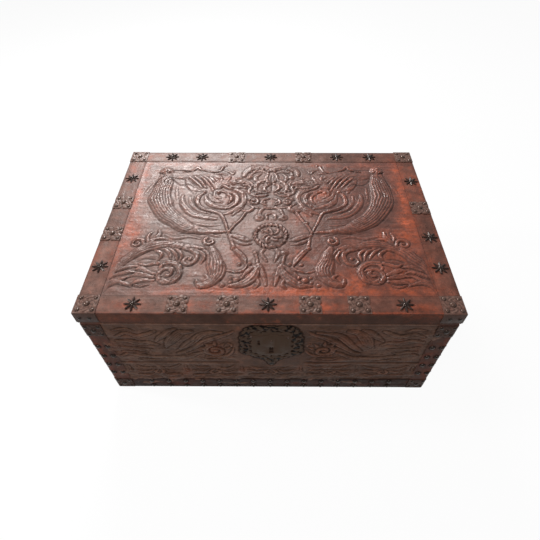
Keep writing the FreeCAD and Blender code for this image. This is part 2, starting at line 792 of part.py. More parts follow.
def build_lock():
    bar_low, bar_top = bolt_levels()
    bolt_front, bolt_back = bolt_faces()
    plate_face = -inner_y + lock_sheet
    case_low = keyhole_height - case_bottom_drop
    case_high = seam - case_top_room
    x0, x1 = lock_x - case_left, lock_x + case_right
    y1 = -inner_y + case_depth

    slot_x0 = lock_x + catch_offset - catch_width / 2 - case_slot_room
    slot_x1 = lock_x + catch_offset + catch_width / 2 + case_slot_room
    slot_y0 = -rim_inner_y - case_slot_room
    slot_y1 = -rim_inner_y + catch_mouth + 2 * catch_wire + case_slot_room
    slot = box(slot_x0, slot_x1, slot_y0, slot_y1, case_high - lock_sheet - over, case_high + over)

    back_plate = box(x0, x1, -inner_y, plate_face, case_low, case_high)
    save("lock_back_plate", back_plate.cut(keyhole(keyhole_room, -inner_y - over, plate_face + over)))

    case = box(x0, x1, plate_face, y1, case_low, case_high)
    hollow = box(x0 + lock_sheet, x1 - lock_sheet, plate_face - over, y1 - lock_sheet, case_low + lock_sheet,
                 case_high - lock_sheet)
    save("lock_case", case.cut(hollow).cut(slot))

    guide_x = lock_x - guide_place
    guide = box(guide_x - guide_width / 2, guide_x + guide_width / 2, plate_face, bolt_back + bolt_clearance + guide_wall,
                bar_low - bolt_clearance - guide_wall, bar_top + bolt_clearance + guide_wall)
    window = box(guide_x - guide_width, guide_x + guide_width, bolt_front - bolt_clearance, bolt_back + bolt_clearance,
                 bar_low - bolt_clearance, bar_top + bolt_clearance)
    stud_x = lock_x - stud_place
    stud_z = (bar_low + bar_top) / 2
    head_start = bolt_back + bolt_clearance
    stud = rod(stud_radius, V(stud_x, plate_face, stud_z), V(stud_x, head_start, stud_z))
    stud_end = V(stud_x, head_start + stud_head, stud_z)
    stud = stud.fuse(bar(stud_head_radius, forged_sides, V(stud_x, head_start, stud_z), stud_end))
    save("lock_bolt_guides", Part.makeCompound([guide.cut(window), stud]))

    bolt = box(lock_x - bolt_tail, lock_x + bolt_tip, bolt_front, bolt_back, bar_low, bar_top)
    web_low = bar_low - bolt_web_drop
    web = box(lock_x - bolt_web_left, lock_x + bolt_web_right, bolt_front, bolt_back, web_low, bar_low)
    talon_x = lock_x - (bolt_web_left - bolt_web_right) / 2
    talon = rod(talon_radius, V(talon_x, bolt_front - over, web_low), V(talon_x, bolt_back + over, web_low))
    run_radius = stud_radius + bolt_clearance
    run_end = stud_x - bolt_throw
    run = rod(run_radius, V(stud_x, bolt_front - over, stud_z), V(stud_x, bolt_back + over, stud_z))
    run = run.fuse(rod(run_radius, V(run_end, bolt_front - over, stud_z), V(run_end, bolt_back + over, stud_z)))
    run = run.fuse(box(run_end, stud_x, bolt_front - over, bolt_back + over, stud_z - run_radius, stud_z + run_radius))
    save("lock_bolt", bolt.fuse(web).cut([talon, run]).removeSplitter())

    save("lock_drill_pin", rod(drill_pin_radius, V(lock_x, y1 - lock_sheet, keyhole_height),
                               V(lock_x, -panel_y, keyhole_height)))

    catch_x = lock_x + catch_offset
    loop_y0 = -rim_inner_y
    loop_y1 = loop_y0 + catch_mouth + 2 * catch_wire
    loop_low = bar_low - catch_below_bolt - catch_wire
    loop_high = seam + catch_plate_height
    loop = box(catch_x - catch_width / 2, catch_x + catch_width / 2, loop_y0, loop_y1, loop_low, loop_high)
    mouth = box(catch_x - catch_width, catch_x + catch_width, loop_y0 + catch_wire, loop_y1 - catch_wire,
                loop_low + catch_wire, loop_high - catch_wire)
    nail_plate = box(catch_x - catch_plate_half, catch_x + catch_plate_half, loop_y0, loop_y0 + catch_wire,
                     seam + catch_wire, loop_high + catch_wire)
    save("lock_catch", loop.cut(mouth).fuse(nail_plate).removeSplitter())


def main():
    os.makedirs("parts", exist_ok=True)
    build_boards()
    build_body_leather()
    build_body_straps()
    build_body_plates()
    build_body_nails()
    build_hinges()
    build_lid_wood()
    build_lid_leather()
    build_lid_iron()
    build_handles()
    build_lock_plate()
    build_lock()


main()
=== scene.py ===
# Leather trunk: embossed, dyed leather over boards, with forged iron plates, stars and dome nails.

import contextlib
import functools
import math
import random

import bpy
import numpy as np
from mathutils import Matrix, Quaternion, Vector


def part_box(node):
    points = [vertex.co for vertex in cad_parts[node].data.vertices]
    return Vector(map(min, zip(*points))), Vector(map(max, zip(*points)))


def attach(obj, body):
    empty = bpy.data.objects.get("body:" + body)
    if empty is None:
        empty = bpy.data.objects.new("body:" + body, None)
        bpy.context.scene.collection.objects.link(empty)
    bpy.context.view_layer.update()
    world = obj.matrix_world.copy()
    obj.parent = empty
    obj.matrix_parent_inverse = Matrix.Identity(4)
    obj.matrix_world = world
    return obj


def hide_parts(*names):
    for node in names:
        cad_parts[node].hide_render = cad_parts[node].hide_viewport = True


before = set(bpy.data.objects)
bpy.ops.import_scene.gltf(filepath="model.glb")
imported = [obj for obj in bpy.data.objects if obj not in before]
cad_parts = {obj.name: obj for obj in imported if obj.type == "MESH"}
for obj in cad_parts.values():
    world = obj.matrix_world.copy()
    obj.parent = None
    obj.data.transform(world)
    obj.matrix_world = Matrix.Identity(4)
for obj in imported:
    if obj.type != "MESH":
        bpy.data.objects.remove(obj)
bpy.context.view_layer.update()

mm = 0.001
white = (1, 1, 1, 1)
print("frame loaded:", len(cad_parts), "nodes")


# Camera, light and floor

cameraLook = {
    "place": (0.01075, -0.7476, 1.00114),
    "turnDegrees": 0.438,
    "tiltDegrees": 40.194,
    "rollDegrees": -0.157,
    "lens": 27.638,
    "sensor": 36.0,
    "shift": (-0.00475, 0.01041),
    "clip": (0.05, 60),
}

lightLook = {
    "lamps": {
        # name: place, size, power
        "keyLight": ((-0.55, 1.8, 1.6), 0.85, 104),
        "sideLight": ((-2.1, 0.1, 1.75), 0.4, 66),
        "overheadLight": ((-0.4, -1.4, 2.5), 0.9, 42),
    },
    "aim": (0.0, 0.0, 0.25),
    "skyStrength": 0.1,
}

floorLook = {
    "size": 14.0,
    "colour": (0.55, 0.55, 0.55, 1),
    "glowShare": 0.95,
}


def placeCamera():
    look = cameraLook
    bpy.ops.object.camera_add(location=look["place"])
    camera = bpy.context.object
    turn = Quaternion((0, 0, 1), math.radians(look["turnDegrees"]))
    tilt = Quaternion((1, 0, 0), math.radians(look["tiltDegrees"]))
    roll = Quaternion((0, 0, 1), math.radians(look["rollDegrees"]))
    camera.rotation_euler = (turn @ tilt @ roll).to_euler()
    camera.data.sensor_width = look["sensor"]
    camera.data.lens = look["lens"]
    camera.data.shift_x, camera.data.shift_y = look["shift"]
    camera.data.clip_start, camera.data.clip_end = look["clip"]
    bpy.context.scene.camera = camera


def hangLamps():
    for name, (place, size, power) in lightLook["lamps"].items():
        bpy.ops.object.light_add(type="AREA", location=place)
        lamp = bpy.context.object
        lamp.name = name
        lamp.rotation_euler = (Vector(lightLook["aim"]) - Vector(place)).to_track_quat("-Z", "Y").to_euler()
        lamp.data.shape = "DISK"
        lamp.data.size = size
        lamp.data.energy = power


def paintSky():
    world = bpy.data.worlds.new("studioWhite")
    bpy.context.scene.world = world
    world.use_nodes = True
    nodes = Nodes(world.node_tree)
    nodes.tree.nodes.clear()
    light = nodes.add("Background", {"Color": white, "Strength": lightLook["skyStrength"]})[0]
    bright = nodes.add("Background", {"Color": white, "Strength": 1})[0]
    nodes.mixedSurface("World", nodes.seenStraight(), light, bright)


def layFloor():
    deselectAll()
    bpy.ops.mesh.primitive_plane_add(size=floorLook["size"], location=(0, 0, 0))
    floor = bpy.context.object
    floor.name = "paleFloor"
    material = bpy.data.materials.new("palePaper")
    material.use_nodes = True
    nodes = Nodes(material.node_tree)
    nodes.tree.nodes.clear()
    paper = nodes.add("BsdfDiffuse", {"Color": floorLook["colour"]})[0]
    glow = nodes.add("Emission", {"Color": white, "Strength": 1})[0]
    nodes.mixedSurface("Material", nodes.times(nodes.seenStraight(), floorLook["glowShare"]), paper, glow)
    floor.data.materials.append(material)


# Handling of pieces and their meshes

def deselectAll():
    bpy.ops.object.select_all(action="DESELECT")


def pick(piece):
    deselectAll()
    piece.select_set(True)
    bpy.context.view_layer.objects.active = piece


@contextlib.contextmanager
def editMode(piece):
    pick(piece)
    bpy.ops.object.mode_set(mode="EDIT")
    bpy.ops.mesh.select_all(action="SELECT")
    yield
    bpy.ops.object.mode_set(mode="OBJECT")


def turnOutwards():
    bpy.ops.mesh.select_all(action="SELECT")
    bpy.ops.mesh.normals_make_consistent(inside=False)


def selectRim():
    bpy.ops.mesh.select_mode(type="EDGE")
    bpy.ops.mesh.select_all(action="DESELECT")
    bpy.ops.mesh.select_non_manifold()


def cutAcross(axis, places):
    # slices the mesh square to an axis, so that its surface has corners to carry the fields
    normal = Vector((0, 0, 0))
    normal[axis] = 1
    for place in places:
        bpy.ops.mesh.select_all(action="SELECT")
        bpy.ops.mesh.bisect(plane_co=normal * place, plane_no=normal)


def bevel(piece, width, segments, degrees):
    pick(piece)
    modifier = piece.modifiers.new("bevel", "BEVEL")
    modifier.width = width * mm
    modifier.segments = segments
    modifier.limit_method = "ANGLE"
    modifier.angle_limit = math.radians(degrees)
    bpy.ops.object.modifier_apply(modifier=modifier.name)


def smooth(piece, degrees):
    pick(piece)
    bpy.ops.object.shade_smooth_by_angle(angle=math.radians(degrees))


def readPlaces(piece):
    places = np.empty(len(piece.data.vertices) * 3)
    piece.data.vertices.foreach_get("co", places)
    return places.reshape(-1, 3)


def writePlaces(piece, places):
    piece.data.vertices.foreach_set("co", places.ravel())
    piece.data.update()


def writeFields(piece, fields):
    attributes = piece.data.attributes
    for label, field in fields.items():
        attribute = attributes.get(label) or attributes.new(label, "FLOAT", "POINT")
        attribute.data.foreach_set("value", field.ravel().astype(np.float32))


def finishPiece(piece, name, body, finish, nodeName):
    piece.name = name
    piece.data.name = name
    piece.data.materials.clear()
    piece.data.materials.append(finishes[finish])
    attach(piece, body)
    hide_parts(nodeName)


def joined(pieces):
    pick(pieces[0])
    for piece in pieces[1:]:
        piece.select_set(True)
    if len(pieces) > 1:
        bpy.ops.object.join()
    return bpy.context.view_layer.objects.active


def copyOf(piece, matrix):
    made = bpy.data.objects.new(piece.name + "Copy", piece.data.copy())
    bpy.context.scene.collection.objects.link(made)
    made.data.transform(matrix)
    return made


def cadCopy(nodeName, bevelWidth=0.0, bevelDegrees=30):
    # the node's own shape, merged, with its edges broken as a file leaves them
    piece = bpy.data.objects.new(nodeName + "Made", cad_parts[nodeName].data.copy())
    bpy.context.scene.collection.objects.link(piece)
    with editMode(piece):
        bpy.ops.mesh.customdata_custom_splitnormals_clear()
        bpy.ops.mesh.remove_doubles(threshold=0.01 * mm)
        bpy.ops.mesh.dissolve_limited(angle_limit=math.radians(1))
    if bevelWidth:
        bevel(piece, bevelWidth, 2, bevelDegrees)
    smooth(piece, 40)
    return piece


faceAxes = {
    "top": ((1, 0, 0), (0, 1, 0), (0, 0, 1)),
    "front": ((1, 0, 0), (0, 0, 1), (0, -1, 0)),
    "back": ((-1, 0, 0), (0, 0, 1), (0, 1, 0)),
    "left": ((0, -1, 0), (0, 0, 1), (-1, 0, 0)),
    "right": ((0, 1, 0), (0, 0, 1), (1, 0, 0)),
}


def faceMatrix(face, place):
    # turns a piece that was made facing up so that it faces a side, with its middle at a place
    matrix = Matrix(faceAxes[face]).transposed().to_4x4()
    matrix.translation = Vector(place)
    return matrix


def nodeMiddle(nodeName):
    low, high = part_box(nodeName)
    return (low + high) / 2, high - low


# Nodes of the finishes

def tint(red, green, blue):
    # a colour as a paint chart gives it, 0 to 255, made linear
    shares = [value / 255 for value in (red, green, blue)]
    linear = [share / 12.92 if share <= 0.04045 else ((share + 0.055) / 1.055) ** 2.4 for share in shares]
    return (*linear, 1)


class Nodes:
    # a node tree in the making; inputs take a socket or a constant, and each step gives what it puts out
    def __init__(self, tree):
        self.tree = tree

    def fill(self, node, values):
        for key, value in values.items():
            if isinstance(value, bpy.types.NodeSocket):
                self.tree.links.new(value, node.inputs[key])
            else:
                node.inputs[key].default_value = value

    def add(self, kind, values, **settings):
        node = self.tree.nodes.new("ShaderNode" + kind)
        for key, value in settings.items():
            setattr(node, key, value)
        self.fill(node, values)
        return node.outputs

    def math(self, operation, first, second=0.0, clamp=False):
        return self.add("Math", {0: first, 1: second}, operation=operation, use_clamp=clamp)[0]

    def times(self, first, second, clamp=True):
        return self.math("MULTIPLY", first, second, clamp)

    def mix(self, share, first, second, blend="MIX"):
        return self.add("Mix", {0: share, 6: first, 7: second}, data_type="RGBA", blend_type=blend)[2]

    def ramp(self, value, low, high, outLow=0.0, outHigh=1.0):
        ends = {"Value": value, "From Min": low, "From Max": high, "To Min": outLow, "To Max": outHigh}
        return self.add("MapRange", ends, interpolation_type="SMOOTHSTEP")[0]

    def place(self):
        return self.add("TexCoord", {})["Object"]

    def noise(self, scale, detail=4.0, stretch=(1, 1, 1), roughness=0.55):
        place = self.add("Mapping", {"Vector": self.place(), "Scale": stretch})[0]
        values = {"Vector": place, "Scale": scale, "Detail": detail, "Roughness": roughness}
        return self.add("TexNoise", values)[0]

    def pores(self, scale):
        return self.add("TexVoronoi", {"Vector": self.place(), "Scale": scale}, feature="DISTANCE_TO_EDGE")[0]

    def field(self, name):
        return self.add("Attribute", {}, attribute_name=name)["Fac"]

    def bump(self, height, distance, strength, under=None):
        values = {"Height": height, "Distance": distance * mm, "Strength": strength}
        if under:
            values["Normal"] = under
        return self.add("Bump", values)[0]

    def seenStraight(self):
        # 1 for rays from the camera, a mirror or glass, which see the white background
        path = self.add("LightPath", {})
        first = self.math("MAXIMUM", path["Is Camera Ray"], path["Is Glossy Ray"])
        return self.math("MAXIMUM", first, path["Is Transmission Ray"])

    def mixedSurface(self, kind, share, first, second):
        mixed = self.add("MixShader", {0: share, 1: first, 2: second})[0]
        self.add("Output" + kind, {"Surface": mixed})


def newFinish(name):
    material = bpy.data.materials.new(name)
    material.use_nodes = True
    return material, Nodes(material.node_tree), material.node_tree.nodes["Principled BSDF"]


# Leather finishes

leatherSheen = (1.0, 0.88, 0.82, 1)
leatherNoise = {
    "clouds": 9,
    "stains": 18,
    "streaks": 30,
    "patches": 52,
    "mottle": 55,
    "creases": 190,
    "pores": 420,
    "grain": 600,
}

leatherLooks = {
    "topLeather": {
        "greyedAndSheen": tint(86, 63, 56), "redBrown": tint(76, 44, 36), "dark": tint(46, 29, 25),
        "worn": tint(120, 56, 34), "dirtAndShade": tint(16, 10, 8), "polishAndHighlight": tint(118, 82, 72),
        "dirtAndShadeAmount": 0.8, "stain": 0.74, "rub": 0.35, "glint": 0.28, "specular": 0.18, "roughness": (0.34, 0.5)},
    "bodyLeather": {
        "greyedAndSheen": tint(94, 71, 60), "redBrown": tint(86, 58, 45), "dark": tint(56, 41, 34),
        "worn": tint(112, 62, 43), "dirtAndShade": tint(14, 10, 8), "polishAndHighlight": tint(112, 86, 72),
        "dirtAndShadeAmount": 0.8, "stain": 0.7, "rub": 0.4, "glint": 0.12, "specular": 0.05, "roughness": (0.34, 0.5)},
    "strapLeather": {
        "greyedAndSheen": tint(86, 62, 54), "redBrown": tint(84, 54, 45), "dark": tint(52, 35, 30),
        "worn": tint(122, 58, 38), "dirtAndShade": tint(14, 9, 8), "polishAndHighlight": tint(98, 68, 58),
        "dirtAndShadeAmount": 0.8, "stain": 0.6, "rub": 0.2, "glint": 0.1, "specular": 0.1, "roughness": (0.34, 0.52)},
    "bandLeather": {
        "greyedAndSheen": tint(80, 57, 47), "redBrown": tint(74, 46, 36), "dark": tint(46, 31, 26),
        "worn": tint(150, 74, 48), "dirtAndShade": tint(12, 8, 7), "polishAndHighlight": tint(96, 70, 58),
        "dirtAndShadeAmount": 0.8, "stain": 0.66, "rub": 0.2, "glint": 0.0, "specular": 0.04, "roughness": (0.38, 0.56)},
    "bodyStrapLeather": {
        "greyedAndSheen": tint(50, 34, 29), "redBrown": tint(54, 33, 27), "dark": tint(30, 20, 17),
        "worn": tint(92, 46, 34), "dirtAndShade": tint(10, 7, 6), "polishAndHighlight": tint(90, 66, 55),
        "dirtAndShadeAmount": 0.8, "stain": 0.6, "rub": 0.2, "glint": 0.0, "specular": 0.05, "roughness": (0.38, 0.56)},
    "cornerLeather": {
        "greyedAndSheen": tint(76, 52, 44), "redBrown": tint(78, 46, 37), "dark": tint(50, 33, 27),
        "worn": tint(124, 62, 44), "dirtAndShade": tint(10, 7, 6), "polishAndHighlight": tint(110, 80, 66),
        "dirtAndShadeAmount": 0.95, "stain": 0.66, "rub": 0.2, "glint": 0.0, "specular": 0.05, "roughness": (0.36, 0.54)},
}


def leatherFinish(name):
    # wear and three more attributes that the embossed pieces carry: the greying of dust with a painted sheen,
    # dirt with painted shade in the hollows, and the crests, which take a rubbed colour with a painted
    # highlight
    look = leatherLooks[name]
    scale = leatherNoise
    material, nodes, shader = newFinish(name)
    fadeAndSheen, crest, hollow = (nodes.field(label) for label in ("fadeAndSheen", "crest", "hollow"))
    mottled = nodes.noise(scale["mottle"], 6, roughness=0.65)
    pores = nodes.pores(scale["pores"])
    clouds = nodes.ramp(nodes.noise(scale["clouds"], 5), 0.35, 0.65)
    streaks = nodes.ramp(nodes.noise(scale["streaks"], 5, stretch=(0.35, 2.2, 2.2)), 0.2, 0.7, 0.55, 1.0)
    patches = nodes.ramp(nodes.noise(scale["patches"], 7, roughness=0.75), 0.4, 0.62, 0.3, 1.0)
    flecks = nodes.times(nodes.ramp(mottled, 0.56, 0.72, 0.0, 0.35), 0.5)
    wear = nodes.times(nodes.times(nodes.field("wear"), patches, False), 1.25, False)
    outsideDustAndSheen = nodes.ramp(fadeAndSheen, 0.1, 0.8, look["rub"], 0.0)
    layers = (
        (nodes.times(clouds, 0.55), "dark"),
        # greyed by dust, and on the lid also lighter as a painted sheen
        (nodes.times(fadeAndSheen, streaks), "greyedAndSheen"),
        (nodes.math("ADD", wear, flecks, True), "worn"),
        # rubbed colour on the crests, lighter as a painted highlight
        (nodes.times(crest, look["rub"]), "polishAndHighlight"),
        (nodes.times(crest, outsideDustAndSheen), "worn"),
        # dirt and painted shade in the hollows
        (nodes.times(hollow, look["dirtAndShadeAmount"]), "dirtAndShade"),
    )
    colour = look["redBrown"]
    for share, label in layers:
        colour = nodes.mix(share, colour, look[label])
    shade = nodes.ramp(pores, 0.0, 0.12, 0.84, 1.06)
    shade = nodes.times(shade, nodes.ramp(mottled, 0.25, 0.75, 0.7, 1.26), False)
    stains = nodes.noise(scale["stains"], 5, roughness=0.62)
    shade = nodes.times(shade, nodes.ramp(stains, 0.3, 0.7, look["stain"], 1.2), False)
    rough = nodes.ramp(mottled, 0.3, 0.7, *look["roughness"])
    rough = nodes.math("SUBTRACT", rough, nodes.times(crest, look["glint"]))
    normal = nodes.bump(pores, 0.3, 0.5)
    normal = nodes.bump(nodes.noise(scale["grain"], 3), 0.4, 0.7, normal)
    nodes.fill(shader, {
        "Specular IOR Level": look["specular"],
        "Specular Tint": leatherSheen,
        "Base Color": nodes.mix(1.0, colour, shade, "MULTIPLY"),
        "Roughness": nodes.math("ADD", rough, nodes.times(hollow, 0.4), True),
        "Normal": nodes.bump(nodes.noise(scale["creases"], 5, roughness=0.65), 1.1, 0.55, normal),
    })
    return material


# Iron, steel and wood finishes

ironSheen = (1.0, 0.78, 0.68, 1)
ironDirtAndShade = tint(12, 9, 9)
ironRubbed = tint(124, 102, 92)
filigreePaintedShade = tint(9, 6, 5)
ironNoise = {
    "rust": 70,
    "gloss": 160,
    "hammered": 240,
    "grain": 1100,
}

ironLooks = {
    "blackIron": {"colour": tint(32, 22, 19), "rust": tint(52, 33, 27), "rustShare": 0.4,
                  "metallic": 0.0, "specular": 0.1, "roughness": (0.26, 0.4)},
    "nailIron": {"colour": tint(20, 13, 10), "rust": tint(40, 25, 19), "rustShare": 0.4,
                 "metallic": 0.0, "specular": 0.2, "roughness": (0.08, 0.18)},
    "plateNailIron": {"colour": tint(64, 47, 40), "rust": tint(60, 36, 28), "rustShare": 0.4,
                      "metallic": 0.0, "specular": 0.2, "roughness": (0.14, 0.3)},
    "plateIron": {"colour": tint(78, 58, 51), "rust": tint(78, 46, 37), "rustShare": 0.5,
                  "metallic": 0.0, "specular": 0.1, "roughness": (0.28, 0.48)},
    "bodyPlateIron": {"colour": tint(62, 44, 37), "rust": tint(68, 40, 31), "rustShare": 0.5,
                      "metallic": 0.0, "specular": 0.05, "roughness": (0.3, 0.5), "rub": 0.16},
    "lockIron": {"colour": tint(68, 53, 43), "rust": tint(66, 42, 31), "rustShare": 0.4,
                 "metallic": 0.0, "specular": 0.03, "roughness": (0.3, 0.52)},
    "forgedIron": {"colour": tint(34, 27, 24), "rust": tint(66, 39, 29), "rustShare": 0.45,
                   "metallic": 0.5, "specular": 0.2, "roughness": (0.36, 0.58)},
    "filedSteel": {"colour": tint(120, 113, 106), "rust": tint(86, 57, 42), "rustShare": 0.35,
                   "metallic": 0.9, "specular": 0.5, "roughness": (0.3, 0.5)},
}


def filigreeShade(nodes):
    # painted shade in the chased border of the lock plate: dark curls, black as piercings would show, outside
    # its plain middle
    middle, size = nodeMiddle("lock_plate")
    half = size / 2
    apart = nodes.add("SeparateXYZ", {0: nodes.place()})
    outX = nodes.math("ABSOLUTE", nodes.math("SUBTRACT", apart["X"], middle.x))
    outZ = nodes.math("ABSOLUTE", nodes.math("SUBTRACT", apart["Z"], middle.z + 0.1 * half.z))
    reach = nodes.math("MAXIMUM", nodes.math("DIVIDE", outX, half.x), nodes.math("DIVIDE", outZ, half.z))
    curls = nodes.ramp(nodes.noise(120, 2, roughness=0.4), 0.5, 0.56)
    return nodes.times(nodes.ramp(reach, 0.6, 0.66), curls)


def ironFinish(name):
    look = ironLooks[name]
    material, nodes, shader = newFinish(name)
    scale = ironNoise
    spots = nodes.ramp(nodes.noise(scale["rust"], 6, roughness=0.65), 0.45, 0.7, 0.0, look["rustShare"])
    colour = nodes.mix(spots, look["colour"], look["rust"])
    # dirt and painted shade in the hollows, the cuts and round the nails
    colour = nodes.mix(nodes.times(nodes.field("hollow"), 0.85), colour, ironDirtAndShade)
    colour = nodes.mix(nodes.times(nodes.field("crest"), look.get("rub", 0.3)), colour, ironRubbed)
    if name == "lockIron":
        colour = nodes.mix(filigreeShade(nodes), colour, filigreePaintedShade)
    normal = nodes.bump(nodes.noise(scale["hammered"], 5, roughness=0.6), 0.5, 0.4)
    nodes.fill(shader, {
        "Metallic": look["metallic"],
        "Specular IOR Level": look["specular"],
        "Specular Tint": ironSheen,
        "Base Color": colour,
        "Roughness": nodes.ramp(nodes.noise(scale["gloss"], 4), 0.3, 0.7, *look["roughness"]),
        "Normal": nodes.bump(nodes.noise(scale["grain"], 3), 0.12, 0.4, normal),
    })
    return material


woodLook = {
    "pale": tint(150, 112, 74),
    "dark": tint(84, 56, 36),
    "stain": tint(58, 38, 26),
    "grainScale": 34,
    "boards": {
        "boardsAcross": ((0.06, 1, 1), (
            "front_board", "back_board", "bottom_board", "lid_plank_front", "lid_plank_middle",
            "lid_plank_back", "lid_rim_front", "lid_rim_back")),
        "boardsDeep": ((1, 0.06, 1), ("left_board", "right_board", "lid_rim_left", "lid_rim_right")),
    },
}


def woodFinish(name, stretch):
    # the stretch draws the grain out along the board
    look = woodLook
    material, nodes, shader = newFinish(name)
    grain = nodes.noise(look["grainScale"], 6, stretch, 0.6)
    fibre = nodes.noise(look["grainScale"] * 9, 4, stretch)
    layers = (
        (nodes.ramp(grain, 0.35, 0.65), "dark"),
        (nodes.ramp(nodes.noise(5, 4), 0.5, 0.75, 0.0, 0.7), "stain"),
        (nodes.ramp(fibre, 0.3, 0.7, 0.0, 0.4), "dark"),
    )
    colour = look["pale"]
    for share, label in layers:
        colour = nodes.mix(share, colour, look[label])
    nodes.fill(shader, {
        "Specular IOR Level": 0.25,
        "Base Color": colour,
        "Roughness": nodes.ramp(fibre, 0.3, 0.7, 0.6, 0.82),
        "Normal": nodes.bump(grain, 0.6, 0.3, nodes.bump(fibre, 0.3, 0.4)),
    })
    return material


def dressNode(nodeName, material):
    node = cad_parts[nodeName]
    if not node.material_slots:
        node.data.materials.append(material)
    for slot in node.material_slots:
        slot.material = material


def buildCarcass():
    for name, (stretch, nodeNames) in woodLook["boards"].items():
        material = woodFinish(name, stretch)
        for nodeName in nodeNames:
            dressNode(nodeName, material)
    print("carcass dressed")


# Embossing: a height in mm is worked out for each point of a panel, from strokes as a tool would press them

def smoothPath(points, spacing):
    knots = np.array(points, float)
    if len(knots) == 1:
        return knots
    padded = np.vstack([2 * knots[0] - knots[1], knots, 2 * knots[-1] - knots[-2]])
    runs = []
    for i in range(len(knots) - 1):
        a, b, c, d = padded[i:i + 4]
        count = max(2, int(np.linalg.norm(c - b) / spacing))
        t = np.linspace(0, 1, count, endpoint=False)[:, None]
        runs.append(0.5 * (2 * b + (c - a) * t + (2 * a - 5 * b + 4 * c - d) * t ** 2
                           + (3 * b - a - 3 * c + d) * t ** 3))
    runs.append(knots[-1:])
    return np.vstack(runs)


def blurred(field, sigma):
    down = np.fft.fftfreq(field.shape[0])[:, None]
    across = np.fft.fftfreq(field.shape[1])[None, :]
    sigmaDown, sigmaAcross = sigma if isinstance(sigma, tuple) else (sigma, sigma)
    keep = np.exp(-2 * math.pi ** 2 * ((sigmaDown * down) ** 2 + (sigmaAcross * across) ** 2))
    return np.real(np.fft.ifft2(np.fft.fft2(field) * keep))


def softNoise(shape, sigma, seed):
    field = blurred(np.random.default_rng(seed).normal(size=shape), sigma)
    return field / field.std()


strokeLook = {
    "spacing": 1.6,
    "moatReach": 0.9,
    "moatWidth": 1.1,
    "rippleReach": 8.0,
    "ripplePitch": 5.2,
    "linePitch": 6.6,
    "slim": 0.86,
    "waver": 0.22,
    "stray": 0.9,
    "jitter": 1.2,
    "ridgeShare": 0.35,
    "ridgeRise": 1.4,
    "combedFrom": 5.4,
    "wobble": 0.06,
    "lineDirtAndShade": 0.68,
    "ringDirtAndShade": 0.55,
    "keelRise": 0.4,
}


